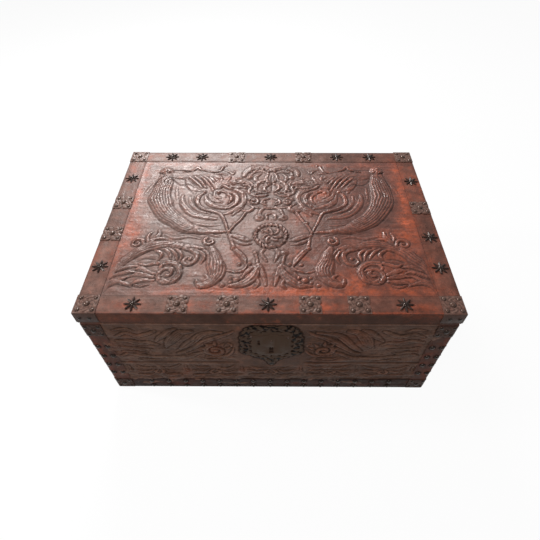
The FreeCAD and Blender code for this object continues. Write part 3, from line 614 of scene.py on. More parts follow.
class Relief:
    # the heights of one embossed panel; x and y are in mm from its middle
    def __init__(self, x, y, seed=1):
        self.x = x
        self.y = y
        self.height = np.zeros_like(x)
        self.linedDirtAndShade = np.zeros_like(x)
        self.waver = softNoise(x.shape, 6, seed + 90)
        self.strayX = strokeLook["stray"] * softNoise(x.shape, 7, seed + 91)
        self.strayY = strokeLook["stray"] * softNoise(x.shape, 7, seed + 92)
        self.random = random.Random(seed)

    def near(self, path, reach):
        low = path.min(axis=0) - reach
        high = path.max(axis=0) + reach
        found = (self.x > low[0]) & (self.x < high[0]) & (self.y > low[1]) & (self.y < high[1])
        index = np.flatnonzero(found)
        return index, (self.x + self.strayX).flat[index], (self.y + self.strayY).flat[index]

    def stroke(self, points, widths, rise, combed=0, moat=0.7, ripple=0.2, full=2.4):
        # a raised stroke; widths are half widths, spread evenly from its start to its end; a combed or a wide
        # one is cut lengthwise into fine ridges
        look = strokeLook
        path = smoothPath(points, look["spacing"])
        steps = np.linalg.norm(np.diff(path, axis=0), axis=1)
        run = np.concatenate([[0.0], np.cumsum(steps)])
        share = run / run[-1] if len(path) > 1 else run
        slim = 1 if combed > 2 else look["slim"]
        half = np.interp(share, np.linspace(0, 1, len(widths)), widths) * slim
        widest = max(widths) * slim
        index, px, py = self.near(path, widest + look["rippleReach"] + 4)
        if len(index) == 0:
            return
        gap = (px[:, None] - path[:, 0]) ** 2 + (py[:, None] - path[:, 1]) ** 2
        nearest = gap.argmin(axis=1)
        distance = np.sqrt(gap[np.arange(len(index)), nearest])
        tangent = np.gradient(path, axis=0) if len(path) > 1 else np.array([[1.0, 0.0]])
        offX, offY = px - path[nearest, 0], py - path[nearest, 1]
        side = np.sign(tangent[nearest, 0] * offY - tangent[nearest, 1] * offX)
        width = half[nearest] * (1 + look["wobble"] * self.waver.flat[index])
        t = distance / np.maximum(width, 0.5)
        inside = t < 1
        top = rise * (0.45 + 0.55 * width / widest)
        body = top * np.clip(1 - t ** full, 0, 1) ** 0.7
        # dirt and painted shade along the grooves between the ridges and in the moat round the stroke
        dirtAndShadeShare = np.zeros(len(index))
        if combed or widest > look["combedFrom"] and len(path) > 1:
            lines = max(2, round(2 * widest / look["linePitch"]))
            across = lines * (side * t + 1) / 2 + look["waver"] * self.waver.flat[index]
            ridge = 0.5 - 0.5 * np.cos(2 * math.pi * across)
            inner = np.clip((1 - t) * 5, 0, 1) * np.clip(width / widest * 1.4, 0, 1)
            ridges = look["ridgeRise"] * (ridge - 0.3) * inner * rise / 4
            body = body * (1 - look["ridgeShare"] * inner) + ridges
            dirtAndShadeShare = look["lineDirtAndShade"] * (1 - ridge) ** 2.6 * inner
        else:
            keel = np.clip(1 - t, 0, 1) * np.clip(widest / 8, 0, 1)
            body = body * 0.8 + look["keelRise"] * rise * keel
        away = distance - width
        ring = np.exp(-((away - look["moatReach"]) / look["moatWidth"]) ** 2)
        echo = np.cos(2 * math.pi * (away - 3) / look["ripplePitch"]) * np.exp(-away / look["rippleReach"])
        old = self.height.flat[index]
        low = np.clip(1 - old / 1.2, 0, 1)
        outside = old - moat * ring - ripple * echo * low * np.clip(away / 3, 0, 1)
        self.height.flat[index] = np.where(inside, np.maximum(body, old * 0.4 + body * 0.6), outside)
        linedDirtAndShade = self.linedDirtAndShade.flat[index]
        self.linedDirtAndShade.flat[index] = np.where(inside, dirtAndShadeShare, np.maximum(linedDirtAndShade, look["ringDirtAndShade"] * ring))

    def dome(self, place, radius, rise, moat=0.7):
        self.stroke([place], [radius], rise, moat=moat, ripple=0.1, full=2.0)

    def groove(self, points, width, depth):
        path = smoothPath(points, strokeLook["spacing"])
        index, px, py = self.near(path, 3 * width)
        gap = np.sqrt(((px[:, None] - path[:, 0]) ** 2 + (py[:, None] - path[:, 1]) ** 2).min(axis=1))
        press = np.exp(-(gap / width) ** 2)
        self.height.flat[index] -= depth * press
        # the groove is painted dark, dirt and shade together
        self.linedDirtAndShade.flat[index] = np.maximum(self.linedDirtAndShade.flat[index], press)

    def mirrored(self, strokes, middle, **settings):
        # both halves, each a little off as hand work is
        stray = strokeLook["jitter"]
        for points, widths, rise, *lines in strokes:
            for side in (-1, 1):
                moved = [(middle + side * x + self.random.uniform(-stray, stray),
                          y + self.random.uniform(-stray, stray)) for x, y in points]
                self.stroke(moved, widths, rise, *lines, **settings)


def eased(share):
    # 0 to 1 without a kink at either end
    share = np.clip(share, 0, 1)
    return share * share * (3 - 2 * share)


def nearEdge(relief, margin, halfX=None, halfY=None):
    # 0 on the panel's edge, 1 from a margin inwards
    inX = (halfX or relief.x.max()) - np.abs(relief.x)
    inY = (halfY or relief.y.max()) - np.abs(relief.y)
    return eased(np.minimum(inX, inY) / margin)


def spiral(centre, radius, turns, start, clockwise=False, inner=0.12):
    # points of a volute that winds in; start is the angle of its outer end in degrees
    count = int(turns * 9) + 1
    points = []
    for i in range(count):
        share = i / (count - 1)
        angle = math.radians(start) + (-1 if clockwise else 1) * 2 * math.pi * turns * share
        reach = radius * (1 - (1 - inner) * share)
        points.append((centre[0] + reach * math.cos(angle), centre[1] + reach * math.sin(angle)))
    return points


embossLook = {
    "margin": 7,
    "closeReach": 2.2,
    "closeDepth": 0.65,
    "wideReach": 6.0,
    "wideDepth": 3.8,
    "crestRise": 1.3,
    "smoothDegrees": 50,
}


def spread(unit, half, count, inner):
    # grid lines from -0.5 to 0.5 become mm: evenly, or fine up to inner and coarse in the margin's cells
    if not inner:
        return unit * 2 * half
    edge = 0.5 - embossLook["margin"] / count
    return np.interp(unit, [-0.5, -edge, edge, 0.5], [-half, -inner, inner, half])


def embossedPiece(name, width, height, step, draw, thickness, paint=None, fine=None, seed=1):
    # a sheet of leather or iron, made facing up with its outer face at z 0 and its middle at the origin;
    # fine is the half width and half height within which the step holds
    deselectAll()
    look = embossLook
    if fine:
        counts = [2 * round(inner / step) + 2 * look["margin"] for inner in fine]
    else:
        counts = [max(2, round(side / step)) for side in (width, height)]
    bpy.ops.mesh.primitive_grid_add(x_subdivisions=counts[0], y_subdivisions=counts[1], size=1)
    piece = bpy.context.object
    piece.name = name
    places = readPlaces(piece)
    across = int((places[:, 1] == places[0, 1]).sum())
    shape = (len(places) // across, across)
    x = spread(places[:, 0], width / 2, counts[0], fine and fine[0]).reshape(shape)
    y = spread(places[:, 1], height / 2, counts[1], fine and fine[1]).reshape(shape)
    relief = Relief(x, y, seed)
    draw(relief)
    lift = relief.height
    for axis, field in enumerate((relief.x, relief.y, lift)):
        places[:, axis] = field.ravel() * mm
    writePlaces(piece, places)
    # dirt and painted shade in the hollows; the crests take a rubbed colour, on leather with a painted
    # highlight
    close = (blurred(lift, look["closeReach"] / step) - lift) / look["closeDepth"]
    wide = blurred(lift, look["wideReach"] / step) - lift
    hollow = np.maximum(np.maximum(close, wide / look["wideDepth"]), relief.linedDirtAndShade)
    fields = {"hollow": np.clip(hollow, 0, 1), "crest": np.clip(-wide / look["crestRise"], 0, 1)}
    if paint:
        fields.update(paint(relief))
    writeFields(piece, fields)
    with editMode(piece):
        selectRim()
        bpy.ops.mesh.extrude_edges_move(TRANSFORM_OT_translate={"value": (0, 0, -thickness * mm)})
        bpy.ops.mesh.edge_face_add()
        turnOutwards()
    smooth(piece, look["smoothDegrees"])
    return piece


def sheetOnNode(nodeName, face, step, draw, paint, narrower=0.0, fine=None, seed=1):
    # an embossed sheet that stands for a flat leather node, on one face of the trunk
    middle, size = nodeMiddle(nodeName)
    across, up, out = (Vector(axis) for axis in faceAxes[face])
    width, height, depth = (abs(size.dot(axis)) / mm for axis in (across, up, out))
    piece = embossedPiece(nodeName, width - 2 * narrower, height, step, draw, depth, paint, fine, seed)
    piece.data.transform(faceMatrix(face, middle + out * (depth / 2 * mm)))
    return piece


# Top panel: two beasts with curled tails and folded wings on each side of a crest, with scrolls below

# half of the pattern is listed, in mm from the middle line and up from the middle of the lid; the other half
# is its mirror
topPattern = {
    "middle": 1.5,
    "step": 2.06,
    "quickStep": 3.6,
    "inner": (346, 233),
    "edgeRound": 14,
    "keptShare": 0.8,
    "softShare": 0.6,
    "softReach": 4.5,
    "raisedAt": 1.5,
    "grain": 0.1,
    "raisedGrain": 0.14,
    "swell": 0.3,
    "weave": 0.13,
    "creaseHalf": 0.22,
    "creaseDepth": 0.45,
    "creaseDirtAndShade": 0.4,
    "domes": [
        (281, 190, 20, 4.8), (286, 196, 7, 6.0), (274, 184, 6, 6.0), (292, 182, 5, 5.4),
        (132, 210, 6, 3.0), (124, 216, 4, 2.4), (172, 100, 7, 4.0), (136, 98, 7, 4.2),
        (108, 141, 4, 5.6), (66, 118, 6, 3.6), (55, 163, 11, 2.8), (40, 193, 5, 4.6), (22, 197, 5, 4.6),
        (8, 188, 5, 4.4), (54, 186, 4, 4.4), (140, -74, 5, 3.4), (86, -98, 6, 4.0), (86, -15, 5.5, 3.4),
        (44, -146, 6, 3.4), (67, -147, 6, 3.2), (28, 4, 13, 3.2), (28, 5, 6, 4.6), (33, -112, 9, 3.4),
        (33, -112, 4, 4.6), (72, -191, 9, 4.0), (60, -184, 5, 3.2), (84, -184, 5, 3.2),
        (85, -198, 5, 3.2), (61, -199, 5, 3.2), (247, -142, 6, 3.0), (97, -46, 5, 3.6),
        (179, -130, 6, 3.8), (154, -196, 5, 3.4), (100, -206, 6, 2.8), (236, -188, 6, 3.8),
        (14, 62, 5, 3.4), (46, 106, 4, 3.2), (24, 118, 4, 4.0),
    ],
    "cuts": [
        ([(306, 124), (299, 146), (287, 160), (285, 171), (301, 184)], 2.2, 1.6),
        ([(262, 196), (240, 196), (220, 190)], 3.0, 1.2),
        ([(264, 158), (250, 140), (236, 130), (214, 132), (200, 120)], 2.2, 1.3),
        ([(128, 100), (116, 92), (114, 78)], 1.8, 1.2),
        ([(196, 86), (194, 60), (176, 40), (150, 30)], 1.6, 0.9),
        ([(292, -140), (276, -132), (256, -132)], 2.2, 1.0),
        ([(0, 170), (0, 140), (0, 108)], 1.6, 0.9),
    ],
    "medallion": {"place": (1.5, -56.5), "radius": 41, "ringWidth": 9, "leaves": 22,
                  "petals": ((25, 26), (22, 34), (26, 18), (21, 38), (25, 24), (23, 30), (26, 20))},
}

topStrokes = [
    # points, half widths along the stroke, rise and, where it is combed, the number of lines
    # strokes that lie under the rest
    ([(244, -58), (216, -66), (190, -60), (164, -66)], [3, 6, 5, 2], 1.3, 2),
    ([(214, -50), (190, -46), (164, -52)], [2, 5, 2], 1.1),
    ([(118, -60), (140, -53), (160, -48)], [2, 4, 2], 1.3),
    ([(300, 150), (316, 120), (322, 90)], [2, 5, 2], 0.8),
    ([(220, 128), (206, 118), (196, 98)], [4, 9, 4], 1.2, 2),
    ([(118, -20), (150, -22), (182, -16)], [2, 4, 2], 0.9),
    # backs of the beasts
    ([(266, 174), (238, 170), (206, 173), (172, 170), (140, 166)], [11, 16, 18, 16, 9], 2.4, 3),
    # tails
    ([(281, 170), (280, 142), (282, 110), (281, 76), (270, 42), (248, 11), (222, -13), (186, -34), (144, -43),
      (100, -46)], [16, 22, 26, 27, 26, 25, 21, 14, 7, 3], 4.8, 6),
    # ribs
    ([(227, 92), (226, 68), (215, 43), (195, 20), (168, 6), (134, -2)], [3, 7, 8, 8, 7, 3], 2.5, 3),
    ([(206, 84), (204, 62), (194, 42), (176, 28), (150, 18)], [3, 5, 6, 5, 2], 2.0, 2),
    ([(246, 120), (244, 96), (240, 74)], [2, 4, 2], 1.2),
    # wing feathers
    ([(224, 152), (216, 136), (200, 114), (184, 106)], [3, 9, 9, 3], 2.4, 3),
    ([(216, 162), (200, 142), (182, 118)], [3, 6, 2.5], 3.0),
    ([(205, 166), (188, 146), (170, 118)], [3, 6, 2.5], 3.4),
    ([(192, 168), (175, 150), (158, 120)], [3, 6, 2.5], 3.2),
    ([(179, 168), (163, 150), (148, 124)], [3, 6, 2.5], 3.0),
    ([(165, 164), (151, 148), (140, 130)], [3, 5, 2.5], 2.7),
    ([(152, 160), (142, 148), (134, 136)], [2, 4, 2], 2.4),
    # line of the crest
    ([(240, 190), (220, 192), (209, 197), (202, 209), (195, 198), (178, 190), (156, 186), (140, 192),
      (132, 208)], [2, 3, 4, 5, 3.5, 3, 3, 4, 5], 2.8),
    ([(126, 196), (114, 190), (104, 180), (98, 192)], [3, 4, 4, 2], 2.2),
    ([(150, 176), (136, 180), (120, 176)], [3, 5, 2], 2.0),
    # plumes
    ([(73, 170), (68, 190), (50, 203), (22, 205), (0, 196)], [5, 9, 11, 10, 7], 3.6, 3),
    ([(57, 174), (46, 187), (28, 190), (12, 181)], [4, 7, 8, 4], 3.0, 2),
    # leaves of the crest
    ([(30, 178), (41, 162), (37, 147), (22, 140)], [4, 7, 6, 3], 3.2, 2),
    ([(9, 178), (15, 161), (11, 146), (2, 139)], [4, 6, 6, 3], 3.6, 2),
    ([(16, 150), (31, 140), (41, 123), (38, 106), (24, 98), (10, 102)], [5, 7, 7, 6, 4, 2], 3.4, 2),
    ([(5, 134), (17, 124), (17, 110), (6, 102)], [4, 6, 6, 3], 3.2),
    ([(34, 96), (50, 92), (58, 104), (50, 118)], [4, 6, 5, 3], 2.8),
    ([(66, 150), (56, 142), (48, 130), (52, 120)], [3, 5, 4, 2], 2.4),
    ([(10, 92), (24, 84), (40, 84), (52, 92)], [4, 5, 5, 3], 2.8),
    (spiral((42, 63), 14, 1.4, 30), [5, 5, 4], 3.2),
    ([(6, 76), (18, 70), (22, 58), (10, 52)], [3, 5, 5, 2], 2.6),
    ([(0, 38), (20, 40), (44, 44), (62, 56)], [3, 4, 4, 2], 2.4),
    ([(50, 48), (45, 36), (57, 26), (72, 31)], [3, 6, 6, 3], 2.8),
    ([(12, 44), (24, 31), (28, 14)], [4, 6, 4], 2.8, 2),
    ([(70, 42), (84, 30), (96, 12)], [4, 8, 3], 2.8, 2),
    ([(0, 22), (10, 14), (10, 0)], [3, 5, 3], 2.2),
    # manes
    ([(152, 136), (148, 118), (134, 104)], [3, 6, 3], 2.6, 2),
    ([(138, 122), (132, 108), (116, 98)], [3, 6, 3], 2.8, 2),
    ([(156, 118), (150, 106), (144, 98)], [3, 4, 2], 2.2),
    # heads
    ([(140, 116), (134, 131), (116, 140), (92, 144), (70, 141), (57, 134)], [9, 16, 16, 12, 8, 3.5], 4.2, 3),
    ([(104, 124), (88, 119), (74, 119), (60, 112)], [7, 7, 5, 2], 2.8),
    ([(76, 128), (62, 127), (53, 119), (57, 108), (66, 108)], [3, 4, 4, 4, 2], 2.6),
    ([(116, 148), (112, 158), (109, 170)], [5, 5, 1.5], 3.4),
    ([(131, 146), (131, 158), (136, 168)], [5, 4, 1.5], 2.8),
    ([(100, 152), (88, 158), (74, 160)], [4, 5, 2], 2.4),
    ([(124, 128), (112, 118), (98, 112)], [4, 6, 3], 3.0),
    # breast
    ([(94, 110), (75, 98), (68, 76), (72, 54), (86, 36), (104, 22), (120, 14)],
     [6, 9, 9, 8, 8, 7, 3], 3.4, 2),
    ([(103, 100), (90, 90), (85, 72), (90, 56), (101, 44), (112, 36)], [4, 7, 7, 6, 5, 3], 3.8, 2),
    ([(110, 92), (102, 80), (102, 66), (110, 54)], [3, 5, 5, 2], 3.2),
    ([(128, 108), (142, 102), (140, 84), (128, 78)], [5, 9, 8, 3], 2.8),
    # hooks
    ([(166, 86), (158, 66), (142, 50), (122, 42), (104, 38)], [3, 8, 9, 7, 3], 3.0, 3),
    ([(158, 94), (150, 80), (138, 68), (120, 62)], [3, 8, 8, 3], 2.2, 2),
    ([(169, 100), (180, 90), (186, 72), (184, 52), (170, 39), (148, 30), (128, 20), (116, 2), (106, -22),
      (98, -44)], [5, 7, 7, 7, 6, 6, 5, 4, 3.5, 3], 4.0, 2),
    # strands
    ([(62, 22), (72, 2), (84, -20), (93, -38), (98, -50)], [4, 4, 4, 3.5, 3], 3.0),
    ([(97, -45), (90, -72), (83, -98), (72, -112), (59, -132), (50, -154)], [3.5, 4, 5, 8, 8, 2], 3.4, 2),
    ([(96, -56), (80, -60), (62, -68), (46, -73)], [3, 7, 8, 3], 2.8, 3),
    ([(90, -66), (76, -77), (62, -84), (46, -85)], [2, 6, 6, 2], 2.4, 2),
    ([(50, -154), (60, -164), (78, -168), (100, -160)], [3, 4, 3, 2], 2.4),
    ([(12, -100), (20, -112), (14, -126), (8, -138)], [4, 7, 5, 3], 3.0, 2),
    ([(34, -114), (30, -130), (26, -150)], [4, 4, 4], 2.6),
    # leaves
    ([(24, -150), (30, -172), (41, -190), (60, -204), (86, -207)], [5, 10, 11, 9, 3], 4.2, 4),
    ([(18, -154), (14, -176), (10, -205)], [4, 7, 3], 3.0, 2),
    ([(30, -152), (46, -164), (60, -181)], [4, 7, 2], 2.8),
    ([(28, -188), (24, -202), (32, -212)], [3, 5, 2], 2.2),
    # droops
    ([(134, -98), (128, -116), (120, -140), (115, -164), (119, -186), (132, -201), (148, -203), (155, -190)],
     [8, 15, 18, 20, 18, 13, 8, 4], 4.6, 5),
    ([(140, -176), (132, -186), (140, -194)], [3, 5, 3], 3.0),
    # sprays
    ([(340, -170), (322, -159), (304, -153), (284, -155)], [4, 7, 6, 2], 3.2, 2),
    ([(341, -184), (322, -175), (304, -169), (288, -172)], [4, 6, 6, 2], 3.2, 2),
    ([(341, -197), (323, -192), (307, -184), (296, -181)], [4, 6, 5, 2], 3.0),
    ([(345, -222), (338, -206), (322, -198), (304, -200), (290, -206)], [3, 6, 6, 5, 2], 3.2, 2),
    ([(248, -174), (263, -168), (279, -161), (291, -164)], [4, 7, 7, 2], 3.2, 2),
    ([(249, -182), (266, -180), (284, -178), (298, -183)], [4, 7, 7, 2], 3.2, 2),
    ([(248, -190), (266, -192), (282, -196), (295, -204)], [4, 6, 6, 2], 3.0, 2),
    ([(244, -145), (258, -145), (272, -151), (286, -145)], [3, 6, 5, 2], 2.8),
    ([(256, -204), (270, -207), (286, -205)], [2, 4, 2], 2.2),
    # lobes
    ([(266, -100), (252, -108), (243, -120), (248, -133)], [3, 5, 5, 2], 2.8),
    ([(252, -98), (236, -106), (226, -118), (219, -130)], [3, 5, 5, 2], 2.8),
    ([(237, -98), (221, -106), (210, -118), (206, -133)], [3, 5, 5, 2], 2.8),
    ([(221, -98), (207, -106), (198, -118), (199, -135)], [3, 5, 5, 2], 2.8),
    ([(194, -98), (174, -105), (162, -121), (166, -140), (181, -147), (193, -138), (188, -126), (178, -124)],
     [4, 6, 7, 7, 6, 5, 4, 3], 3.8, 2),
    ([(168, -100), (154, -112), (147, -128), (151, -144)], [3, 5, 5, 2], 2.8),
    ([(155, -99), (145, -109), (139, -121)], [3, 5, 3], 2.4),
    # arches
    ([(150, -100), (174, -94), (204, -90), (238, -85), (271, -94), (297, -110), (318, -131), (333, -155),
      (343, -183), (345, -208)], [4, 8, 10, 12, 13, 13, 12, 11, 8, 4], 4.4, 4),
    # volutes
    (spiral((221, -174), 34, 1.6, 62), [8, 9, 8, 6, 5, 4], 4.2, 2),
    # leaves of the volutes
    ([(232, -144), (240, -154), (236, -166)], [3, 5, 2], 2.8),
    ([(212, -196), (222, -192), (230, -184)], [3, 5, 2], 2.8),
    ([(204, -166), (212, -160), (222, -160)], [2, 4, 2], 2.6),
    # sprouts
    ([(286, -100), (278, -84), (270, -70), (262, -58), (263, -44)], [4, 5, 7, 7, 3], 3.2, 2),
    ([(279, -80), (285, -62), (278, -46)], [3, 5, 2], 2.6),
    ([(268, -70), (252, -66), (238, -70)], [3, 5, 2], 2.2),
    (spiral((303, -84), 17, 1.3, 190, clockwise=True), [5, 5, 4, 3], 3.2),
    (spiral((140, -76), 14, 1.3, 60, clockwise=True), [5, 5, 4, 3], 3.2),
]


def drawMedallion(relief, look):
    # a wreath of small leaves round a curled flower
    cx, cy = look["place"]
    radius = look["radius"]
    inside = np.hypot(relief.x - cx, relief.y - cy) < radius + 1
    relief.height = np.where(inside, 0.3, relief.height)
    # the medallion's field is painted a little darker
    relief.linedDirtAndShade = np.where(inside, 0.25, relief.linedDirtAndShade)

    def at(reach, degrees):
        angle = math.radians(degrees)
        return (cx + reach * math.cos(angle), cy + reach * math.sin(angle))

    stroke = relief.stroke
    band = radius - look["ringWidth"] / 2
    stroke([at(band, turn) for turn in range(0, 361, 15)], [4.4, 4.4], 2.6, moat=1.2, ripple=0.1)
    for leaf in range(look["leaves"]):
        turn = 360 / look["leaves"] * leaf + relief.random.uniform(-3, 3)
        points = [at(band - 4.5, turn - 8), at(band, turn), at(band + 5, turn + 9)]
        stroke(points, [2, 3.2, 1.5], 4.4, moat=0.5, ripple=0)
    for petal, (reach, curl) in enumerate(look["petals"]):
        turn = 360 / len(look["petals"]) * petal + 20
        bends = ((0.6, 0.3), (1, 1), (0.8, 1.7))
        points = [at(7, turn)] + [at(reach * share, turn + curl * bend) for share, bend in bends]
        stroke(points, [3, 4.6, 4, 2], 3.4, moat=0.7, ripple=0)
    relief.dome((cx + 2, cy + 4), 6.5, 4.8)
    relief.dome((cx - 5, cy - 7), 4.5, 4.0)
    relief.linedDirtAndShade = np.clip(relief.linedDirtAndShade, 0, 1)


def drawTop(relief):
    look = topPattern
    relief.mirrored(topStrokes, look["middle"])
    for x, y, radius, rise in look["domes"]:
        for side in (-1, 1):
            relief.dome((look["middle"] + side * x, y), radius, rise)
    for points, width, depth in look["cuts"]:
        for side in (-1, 1):
            relief.groove([(look["middle"] + side * x, y) for x, y in points], width, depth)
    drawMedallion(relief, look["medallion"])
    shape = relief.x.shape
    soft = blurred(relief.height, look["softReach"])
    relief.height = look["keptShare"] * relief.height + look["softShare"] * soft
    relief.linedDirtAndShade *= np.clip(0.78 + 0.4 * softNoise(shape, 9, 9), 0.25, 1.1)
    raised = np.clip(relief.height / look["raisedAt"], 0, 1)
    relief.height += (look["grain"] + look["raisedGrain"] * raised) * softNoise(shape, 1.1, 5)
    relief.height += look["swell"] * softNoise(shape, 5, 3)
    relief.height += look["weave"] * (1 - raised) * softNoise(shape, (0.9, 12), 4)
    crease = np.clip(1 - np.abs(softNoise(shape, 3, 6)) / look["creaseHalf"], 0, 1) * raised
    relief.height -= look["creaseDepth"] * crease
    # creases are painted dark, dirt and shade together
    relief.linedDirtAndShade = np.maximum(relief.linedDirtAndShade, look["creaseDirtAndShade"] * crease)
    relief.height *= nearEdge(relief, look["edgeRound"], *look["inner"])


topWearAndSheen = {
    # each spot is x, y, its reach in x and y, and its strength
    "spots": [
        (336, 60, 17, 130, 1.0), (330, -10, 24, 44, 1.0), (318, -60, 34, 34, 0.85),
        (340, 190, 22, 60, 0.7), (346, -150, 22, 60, 0.5), (270, 218, 60, 10, 0.3),
        (60, -222, 190, 14, 1.3), (-90, -217, 120, 11, 1.2), (180, -200, 40, 34, 1.1),
        (290, -218, 70, 14, 0.9), (-200, -226, 60, 8, 0.5), (-338, 80, 12, 150, 0.75),
        (-326, -50, 22, 60, 0.85), (-338, -120, 20, 60, 0.6), (-220, 222, 150, 8, 0.35),
        (130, 216, 60, 8, 0.5), (134, 98, 24, 18, 0.9), (112, 84, 20, 24, 0.5),
        (-118, 144, 34, 22, 0.5), (-96, 82, 26, 34, 0.4), (290, -112, 60, 40, 0.6),
        (262, -60, 16, 24, 0.8), (228, -96, 60, 24, 0.45), (276, -176, 40, 30, 0.8),
        (222, -176, 34, 34, 0.35), (124, -160, 30, 50, 0.45), (-118, -160, 30, 50, 0.4),
        (-74, -118, 16, 34, 0.65), (70, -118, 26, 20, 0.6), (-28, -172, 34, 26, 0.6),
        (30, -190, 40, 26, 0.4), (92, 20, 20, 20, 0.5), (66, 10, 16, 30, 0.4),
        (-398, -110, 16, 60, 0.7), (398, -60, 12, 90, 0.8), (-290, -258, 46, 10, 0.35),
        (-170, -258, 26, 14, 0.6), (-130, -256, 20, 10, 0.5), (110, -262, 40, 12, 0.8),
        (60, -256, 30, 12, 0.4), (300, -262, 50, 12, 0.6), (20, -258, 20, 10, 0.4),
        # the last spot on this line and the two below are the worn front edge of the lid, painted lighter
        # along it as a highlight too
        (380, 120, 18, 90, 0.45), (-372, 190, 14, 60, 0.3), (180, -275, 210, 2.2, 1.2),
        (10, -272, 60, 4, 0.7), (-170, -276, 220, 1.8, 0.7),
    ],
    # where the greying of dust and the painted sheen begins, how far it reaches and how it slants
    "fadeAndSheenStart": -10,
    "fadeAndSheenReach": 210,
    "slant": 0.35,
}


def spotField(x, y, spots):
    field = np.zeros_like(x)
    for px, py, reachX, reachY, strength in spots:
        field = np.maximum(field, strength * np.exp(-((x - px) / reachX) ** 2 - ((y - py) / reachY) ** 2))
    return field


def wearDustAndSheenFields(x, y, low=1):
    # the dye is worn in spots; the left and the middle of the lid are greyed by dust and wax, and are painted
    # lighter there as a sheen
    look = topWearAndSheen
    wear = spotField(x, y, look["spots"])
    greyAndSheen = eased(1 - (x - look["slant"] * y - look["fadeAndSheenStart"]) / look["fadeAndSheenReach"])
    return {"wear": wear * low, "fadeAndSheen": greyAndSheen * (1 - 0.8 * wear)}


def paintTop(relief):
    return wearDustAndSheenFields(relief.x, relief.y, np.clip(1.1 - relief.height / 3.5, 0.35, 1))


def buildTopPanel():
    nodeName = "lid_leather_top"
    step = topPattern["step"]
    piece = sheetOnNode(nodeName, "top", step, drawTop, paintTop, fine=topPattern["inner"], seed=8)
    finishPiece(piece, "top_panel_embossed", "lid", "topLeather", nodeName)
    print("top panel:", len(piece.data.polygons), "faces")


# Border straps, which lie round the top panel

borderLook = {
    "step": 2.6,
    "tooledInset": 4.0,
    "tooledHalf": 1.5,
    "tooledDepth": 0.3,
    "edgeRound": 1.4,
    "edgeDrop": 0.4,
    "swell": 0.16,
}


def strapDrawing(seed):
    look = borderLook

    def draw(relief):
        inX = relief.x.max() - np.abs(relief.x)
        inY = relief.y.max() - np.abs(relief.y)
        inside = np.minimum(inX, inY)
        shape = relief.x.shape
        swelling = look["swell"] * softNoise(shape, 3, seed) + 0.12 * softNoise(shape, (0.9, 7), seed + 3)
        line = np.exp(-((inY - look["tooledInset"]) / look["tooledHalf"]) ** 2)
        relief.height = swelling * np.clip(inside / 3, 0, 1) - look["tooledDepth"] * line
        relief.height -= look["edgeDrop"] * np.exp(-(inside / look["edgeRound"]) ** 2)
        # the tooled line and the strap's edges are painted dark, dirt and shade together
        relief.linedDirtAndShade = np.maximum(0.35 * line, 0.6 * np.exp(-(inside / 1.6) ** 2))
    return draw


def buildBorderStraps():
    for seed, side in enumerate(("front", "back", "left", "right")):
        nodeName = "border_strap_" + side
        middle, size = nodeMiddle(nodeName)
        turned = side in ("left", "right")
        width, height, depth = (length / mm for length in size)
        if turned:
            width, height = height, width

        def paint(relief, middle=middle / mm, turned=turned):
            x, y = (-relief.y, relief.x) if turned else (relief.x, relief.y)
            return wearDustAndSheenFields(middle.x + x, middle.y + y)

        drawing = strapDrawing(seed + 20)
        piece = embossedPiece(nodeName, width, height, borderLook["step"], drawing, depth, paint)
        if turned:
            piece.data.transform(Matrix.Rotation(math.radians(90), 4, "Z"))
        piece.data.transform(Matrix.Translation(middle + Vector((0, 0, depth / 2 * mm))))
        finishPiece(piece, "border_" + side + "_strap", "lid", "strapLeather", nodeName)
    print("border straps made")


# Front, back and side panels, pressed with shallow foliage

bodyPattern = {
    "lineHeight": 130.0,
    "roundel": (121, 183, 24),
    "upper": [
        ([(334, 222), (308, 224), (284, 214), (262, 216), (244, 208)], [4, 8, 8, 7, 3], 1.5, 3),
        ([(332, 200), (306, 193), (284, 188), (262, 190)], [3, 7, 6, 2], 1.4, 2),
        ([(330, 242), (306, 252), (282, 242), (262, 248), (242, 262)], [3, 6, 7, 7, 5], 1.5, 2),
        ([(330, 266), (306, 270), (286, 262)], [2, 5, 2], 1.1),
        ([(198, 270), (214, 258), (231, 240), (246, 222)], [4, 8, 8, 3], 1.9, 3),
        ([(166, 262), (188, 256), (206, 238), (218, 216), (228, 198)], [5, 12, 15, 12, 4], 2.1, 5),
        ([(100, 258), (126, 255), (146, 246), (166, 225), (186, 200), (206, 180)],
         [3, 6, 9, 11, 9, 3], 2.0, 4),
        ([(78, 262), (98, 248), (122, 234), (146, 216), (166, 196), (186, 178), (206, 168)],
         [3, 5, 7, 8, 7, 5, 3], 1.9, 3),
        ([(136, 184), (158, 171), (180, 157), (214, 151), (250, 152), (286, 158), (316, 168), (336, 160)],
         [3, 6, 7, 7, 8, 7, 6, 3], 2.0, 2),
        ([(330, 178), (308, 176), (290, 170), (276, 176)], [3, 6, 5, 2], 1.5, 2),
        ([(78, 192), (86, 175), (100, 161), (124, 156), (144, 160)], [2, 4, 4, 4, 2], 1.5),
        ([(300, 144), (270, 140), (240, 143)], [2, 4, 2], 1.0),
        ([(92, 214), (84, 206), (86, 196)], [2, 4, 2], 1.2),
        ([(160, 150), (140, 144), (112, 146)], [2, 4, 2], 1.0),
    ],
    "peaks": (-335, -200, -66, 72, 208, 340),
    "peakTop": 118.0,
    "peakFoot": 60.0,
    "peakHalf": 26.0,
    "riseShare": 1.7,
    "lineHalf": 2.4,
    "lineDepth": 0.9,
    "lipBelow": 8,
    "lipHalf": 3.5,
    "lipRise": 0.6,
    "swell": 0.4,
    "rumple": 0.7,
    "lowest": -1.2,
    "highest": 3.0,
    "edgeRound": 30,
    "keepOutEase": 0.2,
}


